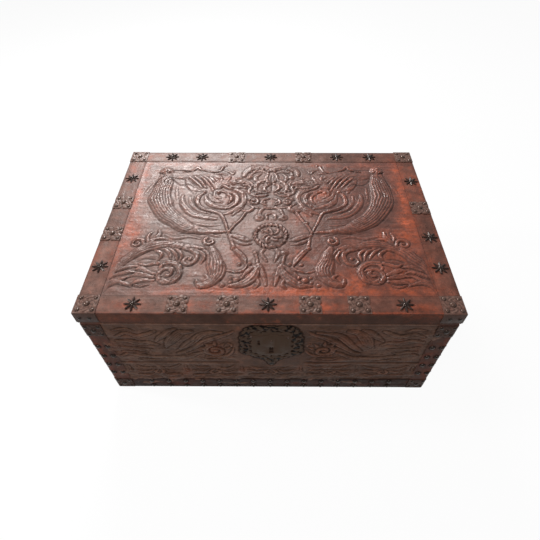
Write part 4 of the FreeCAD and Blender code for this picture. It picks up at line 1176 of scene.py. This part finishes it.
def drawPeaks(relief, look):
    # a row of spear heads with scrolled leaves between them
    top, foot, half = look["peakTop"], look["peakFoot"], look["peakHalf"]
    leaves = (
        ([(half * 0.5, top - 4), (half * 1.3, top - 18), (half * 2.2, top - 14)], [2, 6, 2], 1.3, 2),
        ([(half * 0.6, foot + 30), (half * 1.4, foot + 22), (half * 2.1, foot + 30)], [2, 6, 2], 1.3, 2),
        ([(half * 0.7, foot + 8), (half * 1.5, foot + 4), (half * 2.3, foot + 12)], [3, 6, 2], 1.3, 2),
        ([(half * 2.5, top - 26), (half * 2.1, top - 36), (half * 2.6, foot + 14)], [2, 5, 2], 1.2),
    )
    middle = (top + foot) / 2
    for peak in look["peaks"]:
        if abs(peak) >= relief.x.max():
            continue
        relief.stroke([(peak, top - 6), (peak + 2, middle)], [1.5, 4], 1.2, moat=0.3)
        for side in (-1, 1):
            for points, *rest in leaves:
                moved = [(peak + side * x + relief.random.uniform(-3, 3), y + relief.random.uniform(-2, 2))
                         for x, y in points]
                relief.stroke(moved, *rest, moat=0.35)
        relief.groove([(peak + 2, middle + 8), (peak + 3, middle + 2)], 2.6, 1.0)


def drawRoundel(relief, x, y, radius, side):
    # a curled flower with five short leaves round it
    relief.stroke(spiral((side * x, y), radius, 1.6, 90, side > 0), [6, 7, 5, 4], 2.0, 2, moat=0.7)
    relief.dome((side * x, y), 6, 1.8, 0.5)
    for turn in range(5):
        angle = math.radians(20 + 35 * turn)
        leaf = [(side * (x + math.cos(angle) * reach), y + math.sin(angle) * reach)
                for reach in (radius + 3, radius + 12)]
        relief.stroke(leaf, [5, 2], 1.4, moat=0.5)


plateShade = {
    "round": 6,
    "centralShare": 0.6,
    "centralReach": 7.0,
    "edgeReach": 2.6,
    "strength": 1.9,
}


def shadeBehindPlate(relief, z, room):
    # the leather seen through the piercings of the lock plate, and close round it, is painted black: the
    # plate's painted shadow, with grime
    look = plateShade
    x, y, reachX, reachY = room
    places = readPlaces(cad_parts["lock_plate"]) / mm
    corners = np.unique(places[:, (0, 2)].round(1), axis=0)
    near = (np.abs(relief.x - x) < reachX + look["round"]) & (np.abs(z - y) < reachY + look["round"])
    index = np.flatnonzero(near)
    px, pz = relief.x.flat[index], z.flat[index]
    gap = np.sqrt(((px[:, None] - corners[:, 0]) ** 2 + (pz[:, None] - corners[:, 1]) ** 2).min(axis=1))
    share = look["centralShare"]
    central = (np.abs(px - x) < share * reachX) & (np.abs(pz - y) < share * reachY)
    dirtAndShadeShare = np.clip(look["strength"] - gap / np.where(central, look["centralReach"], look["edgeReach"]), 0, 1)
    relief.linedDirtAndShade.flat[index] = np.where(dirtAndShadeShare > 0.1, 1 + dirtAndShadeShare, relief.linedDirtAndShade.flat[index])


def seamField(z):
    return np.exp(-((z - seamBead["height"]) / seamBead["reach"]) ** 2)


def bodyDrawing(seed, shiftUp, keepOut, pattern, isFront):
    # shiftUp is the height of the panel's middle; keepOut lists x, z and reaches of what lies on the panel
    look = bodyPattern

    def draw(relief):
        flat = relief.y
        z = flat + shiftUp
        relief.y = z
        relief.mirrored(pattern, 0, moat=0.45, ripple=0.16)
        for side in (-1, 1):
            drawRoundel(relief, *look["roundel"], side)
        drawPeaks(relief, look)
        line = np.exp(-((z - look["lineHeight"]) / look["lineHalf"]) ** 2)
        lip = np.exp(-((z - look["lineHeight"] + look["lipBelow"]) / look["lipHalf"]) ** 2)
        relief.height += look["lipRise"] * lip - look["lineDepth"] * line
        # the groove is painted dark, dirt and shade together
        relief.linedDirtAndShade = np.maximum(relief.linedDirtAndShade, 0.8 * line)
        shape = relief.x.shape
        rumple = np.abs(softNoise(shape, (2.4, 5), seed + 4))
        relief.height += look["swell"] * softNoise(shape, (3, 6), seed)
        relief.height += look["rumple"] * np.clip(0.5 - rumple, 0, 1)
        relief.height += 0.08 * softNoise(shape, (0.9, 7), seed + 1) + 0.12 * softNoise(shape, 1.1, seed + 2)
        for x, y, reachX, reachY in keepOut:
            away = np.maximum(np.abs(relief.x - x) / reachX, np.abs(z - y) / reachY)
            clear = np.clip((away - 1) / look["keepOutEase"], 0, 1)
            relief.height *= clear
            relief.linedDirtAndShade *= clear
            if isFront:
                shadeBehindPlate(relief, z, (x, y, reachX, reachY))
        relief.y = flat
        relief.height *= look["riseShare"] * nearEdge(relief, look["edgeRound"])
        relief.height = np.clip(relief.height, look["lowest"], look["highest"])
        if isFront:
            relief.height += seamBead["rise"] * seamField(z)
    return draw


bodyWear = {
    # each spot is x, z, its reach in x and z, and its strength
    "front": [
        (-330, 200, 40, 40, 0.4), (-290, 246, 24, 12, 0.35), (-124, 190, 22, 26, 0.8),
        (-60, 270, 16, 8, 0.4), (190, 236, 40, 34, 0.5), (280, 224, 20, 14, 0.4),
        (-200, 82, 10, 24, 0.7), (-66, 96, 8, 20, 0.5), (72, 100, 8, 16, 0.4), (328, 200, 12, 60, 0.35),
        (-322, 132, 12, 12, 0.5),
    ],
    "other": [
        (-200, 180, 70, 40, 0.5), (120, 220, 70, 30, 0.5), (240, 120, 60, 40, 0.4),
        (-60, 90, 60, 30, 0.4),
    ],
    "base": [
        (-220, 0, 60, 12, 0.5), (90, 0, 80, 10, 0.4), (240, -6, 50, 8, 0.5),
    ],
    "corner": [
        (-380, 200, 10, 60, 0.6), (-384, 100, 8, 40, 0.5), (384, 240, 8, 30, 0.6),
        (366, 150, 12, 30, 0.35), (380, 90, 10, 40, 0.4), (-366, 60, 12, 30, 0.3),
    ],
    "band": [
        # the last spot on this line and the one below are the worn top edge of the band, painted lighter
        # along it as a highlight too
        (-300, 314, 60, 16, 0.25), (330, 318, 50, 12, 0.4), (190, 327.5, 190, 1.8, 1.2),
        (-150, 327.5, 240, 1.6, 0.8),
    ],
}

# the worn edge of the front leather just under the lid; a part of it shows orange, the rest of its crest is
# painted lighter as a highlight, and the leather above it is painted dark as the shadow under the lid
seamBead = {
    "height": 289.0,
    "reach": 2.4,
    "rise": 0.9,
    "orangeFrom": -32.0,
    "orangeTo": 26.0,
    "shadowAbove": 2.2,
}


def bodyPaint(shiftUp, spots, isFront=False):
    def paint(relief):
        z = relief.y + shiftUp
        wear = spotField(relief.x, z, spots)
        lift = relief.height
        # dirt and painted shade in the hollows and along the lines; above 1 the painted shadow round the lock
        # plate comes in full
        hollow = np.maximum((blurred(lift, 1.2) - lift) / 0.8, 0.6 * np.clip(relief.linedDirtAndShade, 0, 1))
        hollow = np.clip(np.maximum(hollow, relief.linedDirtAndShade - 1), 0, 1)
        fadeAndSheen = 0.9 * np.clip(0.5 + 0.5 * np.sin(relief.x / 90 + 1) * np.cos(z / 60), 0, 1)
        if not isFront:
            return {"fadeAndSheen": fadeAndSheen, "hollow": hollow, "wear": wear}
        bead = seamField(z)
        orange = (relief.x > seamBead["orangeFrom"]) & (relief.x < seamBead["orangeTo"])
        # the bead's crest is painted lighter as a highlight outside the orange part
        crest = np.maximum(np.clip((lift - blurred(lift, 3)) / 1.2, 0, 1), np.where(orange, 0, bead) * 1.6)
        # above the bead the leather is painted dark as the shadow under the lid
        hollow = np.maximum(hollow, z > seamBead["height"] + seamBead["shadowAbove"])
        return {"fadeAndSheen": fadeAndSheen, "hollow": hollow, "crest": crest,
                "wear": np.where(orange, np.maximum(wear, bead), wear)}
    return paint


panelLook = {
    "narrower": 6.0,
    "frontStep": 2.2,
    "otherStep": 2.8,
    "quickStep": 4.4,
    "sideShift": 110,
    "stapleInset": 6,
    "stapleReach": 9,
    "hingeRoom": 4.2,
}


def lowerAtHinges(piece, level):
    # the back panel stops short of the lid where the hinge barrels lie
    places = readPlaces(piece)
    for side in ("left", "right"):
        low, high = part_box("hinge_pin_" + side)
        at = (places[:, 0] > low.x - 0.5 * mm) & (places[:, 0] < high.x + 0.5 * mm)
        places[at, 2] = np.minimum(places[at, 2], level - panelLook["hingeRoom"] * mm)
    writePlaces(piece, places)


def buildBodyPanels():
    look = panelLook
    for seed, face in enumerate(("front", "back", "left", "right")):
        nodeName = "leather_" + face
        isFront = face == "front"
        up = nodeMiddle(nodeName)[0].z / mm
        keepOut = []
        pattern = bodyPattern["upper"]
        if isFront:
            middle, size = nodeMiddle("lock_plate")
            keepOut.append((middle.x / mm, middle.z / mm, size.x / 2 / mm + 1, size.z / 2 / mm + 1))
        if face in ("left", "right"):
            low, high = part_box("handle_staples_" + face)
            inset = look["stapleInset"] * mm
            for y in (low.y + inset, high.y - inset):
                keepOut.append((y / mm, (low.z + high.z) / 2 / mm, look["stapleReach"], look["stapleReach"]))
            pattern = [([(x - look["sideShift"], z) for x, z in points], *rest) for points, *rest in pattern]
        step = look[("frontStep" if isFront else "otherStep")]
        drawing = bodyDrawing(seed * 7 + 31, up, keepOut, pattern, isFront)
        paint = bodyPaint(up, bodyWear["front" if isFront else "other"], isFront)
        piece = sheetOnNode(nodeName, face, step, drawing, paint, look["narrower"], seed=seed + 2)
        if face == "back":
            lowerAtHinges(piece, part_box(nodeName)[1].z)
        finishPiece(piece, face + "_panel_embossed", "trunk", "bodyLeather", nodeName)
    print("body panels made")


# Straps of the body and the lid's edge band

bodyStrapLook = {
    "edgeWidth": 0.35,
    "cell": 3,
    "fadeAndSheen": 0.4,
    "dirtAndShadeReach": 2.6,
    "dirtAndShadeStrength": 1.3,
}

bandLook = {
    "edgeWidth": 0.7,
    "cutsAlong": range(-375, 380, 25),
    "cutHeights": (300, 306, 312, 318, 323, 325.4),
}


def markSurface(piece, spots):
    # lends a plain piece the fields of the embossed ones
    places = readPlaces(piece) / mm
    wear = spotField(places[:, 0], places[:, 2], spots)
    writeFields(piece, {"wear": wear, "fadeAndSheen": np.full(len(places), bodyStrapLook["fadeAndSheen"])})


def dirtAndShadeRound(piece, nodeNames, reach=bodyStrapLook["dirtAndShadeReach"]):
    # dirt gathers on the leather round each nail, and the nail's shadow is painted there with it
    places = readPlaces(piece) / mm
    dirtAndShade = np.zeros(len(places))
    attribute = piece.data.attributes.get("hollow")
    if attribute:
        attribute.data.foreach_get("value", dirtAndShade)
    for nodeName in nodeNames:
        for low, high in islandBoxes(nodeName):
            away = np.linalg.norm(places - np.array((low + high) / 2) / mm, axis=1) - max(high - low) / 2 / mm
            dirtAndShade = np.maximum(dirtAndShade, np.clip(bodyStrapLook["dirtAndShadeStrength"] - away / reach, 0, 1))
    writeFields(piece, {"hollow": dirtAndShade})


def buildBodyStraps():
    look = bodyStrapLook
    for corner in ("front_left", "front_right", "back_left", "back_right"):
        nodeName = "corner_strap_" + corner
        piece = cadCopy(nodeName)
        bevel(piece, look["edgeWidth"], 2, 60)
        low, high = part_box(nodeName)
        with editMode(piece):
            for axis in range(3):
                size = high[axis] - low[axis]
                cells = round(size / (look["cell"] * mm))
                cutAcross(axis, [low[axis] + size * cut / cells for cut in range(1, cells)])
        markSurface(piece, bodyWear["corner"])
        dirtAndShadeRound(piece, ("strap_nails", "corner_plate_nails"))
        smooth(piece, 40)
        finishPiece(piece, "corner_" + corner + "_strap", "trunk", "cornerLeather", nodeName)
    for seed, face in enumerate(("front", "back", "left", "right")):
        nodeName = "base_strap_" + face
        paint = bodyPaint(0, bodyWear["base"])
        piece = sheetOnNode(nodeName, face, borderLook["step"], strapDrawing(seed + 50), paint)
        dirtAndShadeRound(piece, ("base_nails",))
        finishPiece(piece, "base_" + face + "_strap", "trunk", "bodyStrapLeather", nodeName)
    print("body straps made")


def buildEdgeBand():
    look = bandLook
    nodeName = "lid_edge_band"
    piece = cadCopy(nodeName)
    bevel(piece, look["edgeWidth"], 3, 50)
    with editMode(piece):
        cutAcross(0, [offset * mm for offset in look["cutsAlong"]])
        cutAcross(2, [height * mm for height in look["cutHeights"]])
    markSurface(piece, bodyWear["band"])
    smooth(piece, 40)
    finishPiece(piece, "lid_band", "lid", "bandLeather", nodeName)
    print("edge band made")


# Iron plates, chased with leaves round a middle nail

plateLook = {
    "step": 1.4,
    "nick": 4.0,
    "nickHalf": 4.5,
    "leafRise": 0.9,
    "leafAt": 0.74,
    "leafHalf": 0.42,
    "ringRise": 0.5,
    "ringAt": 0.36,
    "ringHalf": 0.09,
    "grain": 0.14,
    "cutDark": 0.6,
    "grooveAt": 0.24,
    "grooveHalf": 0.05,
    "edgeDrop": 0.5,
    "thickness": 1.2,
    "tileThickness": 0.2,
    "cornerStep": 1.6,
    "dirtAndShadeReach": 1.6,
    "topDirt": 0.25,
    "foldDirtAndShade": 0.65,
    "foldEdge": 0.3,
    "veins": 8,
}


def chasedHeight(x, y, half, seed):
    # four leaves in the corners and four between them, cut apart by veins; the second field is the dark in
    # the cuts
    look = plateLook
    angle = np.arctan2(y, x)
    away = np.hypot(x, y) / half
    cross = np.abs(np.cos(2 * angle))
    leaf = np.clip(1 - ((away - look["leafAt"]) / look["leafHalf"]) ** 2, 0, 1)
    lobes = 0.5 + 0.5 * np.cos(look["veins"] * angle + 3 * np.sin(9 * away))
    lift = look["leafRise"] * leaf * lobes * (0.5 + 0.5 * cross)
    lift += look["ringRise"] * np.clip(1 - ((away - look["ringAt"]) / look["ringHalf"]) ** 2, 0, 1)
    lift += look["grain"] * softNoise(x.shape, 1.2, seed)
    edge = half - np.maximum(np.abs(x), np.abs(y))
    lift -= look["edgeDrop"] * np.exp(-(edge / 1.2) ** 2)
    dark = look["cutDark"] * np.clip(1.15 - lobes * 2.6, 0, 1) * np.clip(leaf * 2, 0, 1)
    dark = np.maximum(dark, np.exp(-((away - look["grooveAt"]) / look["grooveHalf"]) ** 2))
    rim = np.clip(edge / 2.0, 0, 1)
    return lift * rim, dark * rim


def plateDrawing(size, nicked, seed):
    half = size / 2
    look = plateLook

    def draw(relief):
        x, y = relief.x.copy(), relief.y.copy()
        relief.height, relief.linedDirtAndShade = chasedHeight(x, y, half, seed)
        if nicked:
            for target, axis, other in ((relief.x, x, y), (relief.y, y, x)):
                pull = look["nick"] * np.clip(1 - np.abs(other) / look["nickHalf"], 0, 1)
                target -= np.sign(axis) * pull * np.clip(np.abs(axis) / half * 2 - 1, 0, 1)
    return draw


@functools.cache
def islandBoxes(nodeName):
    # the lowest and highest corner of each separate solid in a node
    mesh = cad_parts[nodeName].data
    keys = [tuple(round(c / (0.01 * mm)) for c in vertex.co) for vertex in mesh.vertices]
    parent = {key: key for key in keys}

    def root(key):
        while parent[key] != key:
            parent[key] = parent[parent[key]]
            key = parent[key]
        return key

    for polygon in mesh.polygons:
        first, *others = (keys[i] for i in polygon.vertices)
        for other in others:
            parent[root(other)] = root(first)
    groups = {}
    for vertex, key in zip(mesh.vertices, keys):
        groups.setdefault(root(key), []).append(vertex.co)
    boxes = [(Vector(map(min, *corners)), Vector(map(max, *corners))) for corners in groups.values()]
    return sorted(boxes, key=lambda box: tuple(round(c, 4) for c in box[0]))


def platesOn(nodeName, narrower, nicked, seed, thickness, lift):
    # a chased plate on each solid of a node, level with its top or a little above
    pieces = []
    for number, (low, high) in enumerate(islandBoxes(nodeName)):
        size = (high.x - low.x) / mm - narrower
        drawing = plateDrawing(size, nicked, seed + number)
        plate = embossedPiece("plate", size, size, plateLook["step"], drawing, thickness)
        middle = (low + high) / 2
        plate.data.transform(Matrix.Translation((middle.x, middle.y, high.z + lift * mm)))
        pieces.append(plate)
    return pieces


def wrapCorner(piece, reach, radius, side):
    # bends an upright sheet, made facing up with x 0 for the corner, round a corner of the trunk; reach is
    # how far the outer faces lie from the middle, side the signs of the corner
    places = readPlaces(piece)
    along, height, out = places.T.copy()
    half = radius * math.pi / 4
    turn = np.clip((along + half) / radius, 0, math.pi / 2)
    before = np.minimum(along + half, 0)
    after = np.maximum(along - half, 0)
    places[:, 0] = side[0] * (reach[0] - radius + (radius + out) * np.sin(turn) + before)
    places[:, 1] = side[1] * (reach[1] - radius + (radius + out) * np.cos(turn) - after)
    places[:, 2] = height
    writePlaces(piece, places)
    with editMode(piece):
        turnOutwards()


def foldedDrawing(leg, seed):
    half = leg / 2

    def draw(relief):
        relief.height, relief.linedDirtAndShade = chasedHeight(np.abs(relief.x) - half, relief.y, half, seed)
        near = np.clip((np.abs(relief.x) - 4) / 4, 0, 1)
        relief.height *= near
        relief.linedDirtAndShade *= near
    return draw


def cornerRound(nodeName):
    # the outer rounding of a folded plate, read off its own corners: how far its flat face stops short of the
    # corner
    corners = [vertex.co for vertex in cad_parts[nodeName].data.vertices]
    farX, farY = (max(corner[axis] for corner in corners) for axis in (0, 1))
    return (farY - max(corner.y for corner in corners if farX - corner.x < 0.01 * mm)) / mm


def buildLidPlates():
    look = plateLook
    nails = ("plate_centre_nails", "plate_corner_nails")
    plates = joined(platesOn("lid_square_plates", 0, True, 0, look["thickness"], 0))
    dirtAndShadeRound(plates, nails, look["dirtAndShadeReach"])
    finishPiece(plates, "lid_plates_chased", "lid", "plateIron", "lid_square_plates")
    # the part of a corner plate that is folded over the lid's edge is painted as dark as the band behind it,
    # grime and painted shade together
    nodeName = "lid_corner_plates"
    folds = cadCopy(nodeName, look["foldEdge"])
    below = readPlaces(folds)[:, 2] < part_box("lid_leather_top")[0].z
    writeFields(folds, {"hollow": np.where(below, look["foldDirtAndShade"], look["topDirt"])})
    folds = joined([folds] + platesOn(nodeName, 1, False, 40, look["tileThickness"], 0.05))
    dirtAndShadeRound(folds, nails, look["dirtAndShadeReach"])
    finishPiece(folds, nodeName + "_chased", "lid", "plateIron", nodeName)
    print("lid plates made")


def buildCornerPlates():
    look = plateLook
    for nodeName in ("corner_plates_base", "corner_plates_top"):
        pieces = []
        radius = cornerRound(nodeName)
        for seed, (low, high) in enumerate(islandBoxes(nodeName)):
            side = [1 if low[axis] > 0 else -1 for axis in (0, 1)]
            reach = [max(abs(low[axis]), abs(high[axis])) for axis in (0, 1)]
            leg = (high.x - low.x) / mm - radius + radius * math.pi / 4
            sheet = embossedPiece("sheet", 2 * leg, (high.z - low.z) / mm, look["cornerStep"],
                                  foldedDrawing(leg, seed + 60), look["thickness"])
            wrapCorner(sheet, reach, radius * mm, side)
            sheet.data.transform(Matrix.Translation((0, 0, (low.z + high.z) / 2)))
            pieces.append(sheet)
        finishPiece(joined(pieces), nodeName + "_chased", "trunk", "bodyPlateIron", nodeName)
    print("corner plates made")


# Stars: eight ridged petals

starLook = {
    "points": 8,
    "ridge": 2.1,
    "tip": 0.9,
    "valleyShare": 0.42,
    "shoulderShare": 0.76,
    "valley": -0.5,
    "shoulder": 0.1,
    "narrowDegrees": 1.2,
    "thickness": 1.2,
    "looseDegrees": 6,
    "edgeWidth": 0.25,
}


def starModel(radius):
    # each petal has four corners of the circle: tip, shoulder, valley and shoulder
    look = starLook
    corners = 4 * look["points"]
    deselectAll()
    bpy.ops.mesh.primitive_circle_add(vertices=corners, radius=radius, fill_type="TRIFAN", location=(0, 0, 0))
    star = bpy.context.object
    star.name = "star"
    shoulder = (look["shoulderShare"], look["shoulder"])
    rings = ((1.0, look["tip"]), shoulder, (look["valleyShare"], look["valley"]), shoulder)
    for vertex in star.data.vertices:
        if vertex.co.length < radius / 2:
            vertex.co.z = look["ridge"] * mm
            continue
        turn = math.atan2(vertex.co.y, vertex.co.x)
        slot = round(turn / (2 * math.pi) * corners) % 4
        share, level = rings[slot]
        turn += math.radians((0, -1, 0, 1)[slot] * look["narrowDegrees"])
        vertex.co = Vector((math.cos(turn) * radius * share, math.sin(turn) * radius * share, level * mm))
    with editMode(star):
        selectRim()
        bpy.ops.mesh.extrude_edges_move(TRANSFORM_OT_translate={"value": (0, 0, 0)})
        bpy.ops.transform.resize(value=(1, 1, 0))
        bpy.ops.transform.translate(value=(0, 0, -look["thickness"] * mm))
        bpy.ops.mesh.edge_face_add()
        turnOutwards()
    bevel(star, look["edgeWidth"], 1, 25)
    return star


def buildStars():
    boxes = islandBoxes("lid_stars")
    star = starModel((boxes[0][1].x - boxes[0][0].x) / 2)
    random.seed(11)
    pieces = []
    for low, high in boxes:
        middle = (low + high) / 2
        loose = starLook["looseDegrees"]
        turn = Matrix.Rotation(math.radians(random.uniform(-loose, loose)), 4, "Z")
        pieces.append(copyOf(star, Matrix.Translation((middle.x, middle.y, high.z)) @ turn))
    bpy.data.objects.remove(star)
    piece = joined(pieces)
    smooth(piece, 20)
    finishPiece(piece, "lid_stars_forged", "lid", "blackIron", "lid_stars")
    print("stars made:", len(boxes))


# Dome nails

nailLook = {
    "sides": 12,
    "rings": 6,
    "tiltDegrees": 7.0,
    "rise": 1.04,
    "groups": (
        ("strap_nails", "trunk", "nailIron"), ("corner_plate_nails", "trunk", "nailIron"),
        ("base_nails", "trunk", "nailIron"), ("star_nails", "lid", "nailIron"),
        ("plate_centre_nails", "lid", "plateNailIron"), ("plate_corner_nails", "lid", "plateNailIron"),
        ("lid_edge_nails", "lid", "nailIron"), ("lock_plate_nails", "trunk", "plateNailIron")),
}


def domeModel():
    deselectAll()
    bpy.ops.mesh.primitive_uv_sphere_add(segments=nailLook["sides"], ring_count=nailLook["rings"], radius=1)
    dome = bpy.context.object
    with editMode(dome):
        bpy.ops.mesh.bisect(plane_co=(0, 0, 0), plane_no=(0, 0, 1), use_fill=True, clear_inner=True)
        turnOutwards()
    return dome


def nailFrame(low, high):
    # where a nail's dome stands: it faces out along its shortest side
    size = high - low
    middle = (low + high) / 2
    axis = min(range(3), key=lambda i: size[i])
    outwards = axis == 2 or middle[axis] > 0
    face = (("left", "right"), ("front", "back"), ("top", "top"))[axis][outwards]
    foot = middle.copy()
    foot[axis] = low[axis] if outwards else high[axis]
    wobble = [math.radians(random.uniform(-1, 1) * nailLook["tiltDegrees"]) for _ in range(2)]
    tilt = Matrix.Rotation(wobble[0], 4, "X") @ Matrix.Rotation(wobble[1], 4, "Y")
    radius = max(size) / 2
    return faceMatrix(face, foot) @ tilt @ Matrix.Diagonal((radius, radius, size[axis] * nailLook["rise"], 1))


def buildNails():
    dome = domeModel()
    random.seed(5)
    for nodeName, body, finish in nailLook["groups"]:
        pieces = [copyOf(dome, nailFrame(low, high)) for low, high in islandBoxes(nodeName)]
        piece = joined(pieces)
        smooth(piece, 60)
        finishPiece(piece, nodeName + "_domed", body, finish, nodeName)
        print(nodeName, len(pieces))
    bpy.data.objects.remove(dome)


# Lock plate, handles, hinges and lock works keep their forged shape, with broken edges

ironworkLook = (
    # slot, finish, width of the broken edges in mm, angle from which they break, and the body of each node
    ("lock_plate_iron", "lockIron", 0.3, 30, {"lock_plate": "trunk"}),
    ("handle_iron", "forgedIron", 0.7, 20, {"handle_left": "handle_left", "handle_right": "handle_right"}),
    ("handle_iron", "forgedIron", 0.4, 30, {"handle_staples_left": "trunk", "handle_staples_right": "trunk"}),
    ("hinge_iron", "forgedIron", 0.2, 30, {
        "hinge_leaf_body_left": "trunk", "hinge_leaf_body_right": "trunk", "hinge_leaf_lid_left": "lid",
        "hinge_leaf_lid_right": "lid", "hinge_pin_left": "trunk", "hinge_pin_right": "trunk"}),
    ("lock_works_steel", "filedSteel", 0.3, 30, {"lock_catch": "lid", "lock_case": "trunk"}),
    ("lock_works_steel", "filedSteel", 0.2, 30, {"lock_back_plate": "trunk", "lock_bolt": "lock_bolt"}),
)


def buildIronwork():
    for slot, finish, width, degrees, bodies in ironworkLook:
        for nodeName, body in bodies.items():
            finishPiece(cadCopy(nodeName, width, degrees), nodeName + "_filed", body, finish, nodeName)
    for nodeName in ("lock_bolt_guides", "lock_drill_pin"):
        dressNode(nodeName, finishes["filedSteel"])
    print("ironwork made")


placeCamera()
paintSky()
layFloor()
hangLamps()
print("camera, floor and lamps placed")
finishes = {name: ironFinish(name) for name in ironLooks}
finishes.update({name: leatherFinish(name) for name in leatherLooks})
print("finishes made")
buildCarcass()
buildTopPanel()
buildBorderStraps()
buildBodyPanels()
buildBodyStraps()
buildEdgeBand()
buildLidPlates()
buildCornerPlates()
buildStars()
buildNails()
buildIronwork()
bpy.context.scene.view_settings.view_transform = "Standard"
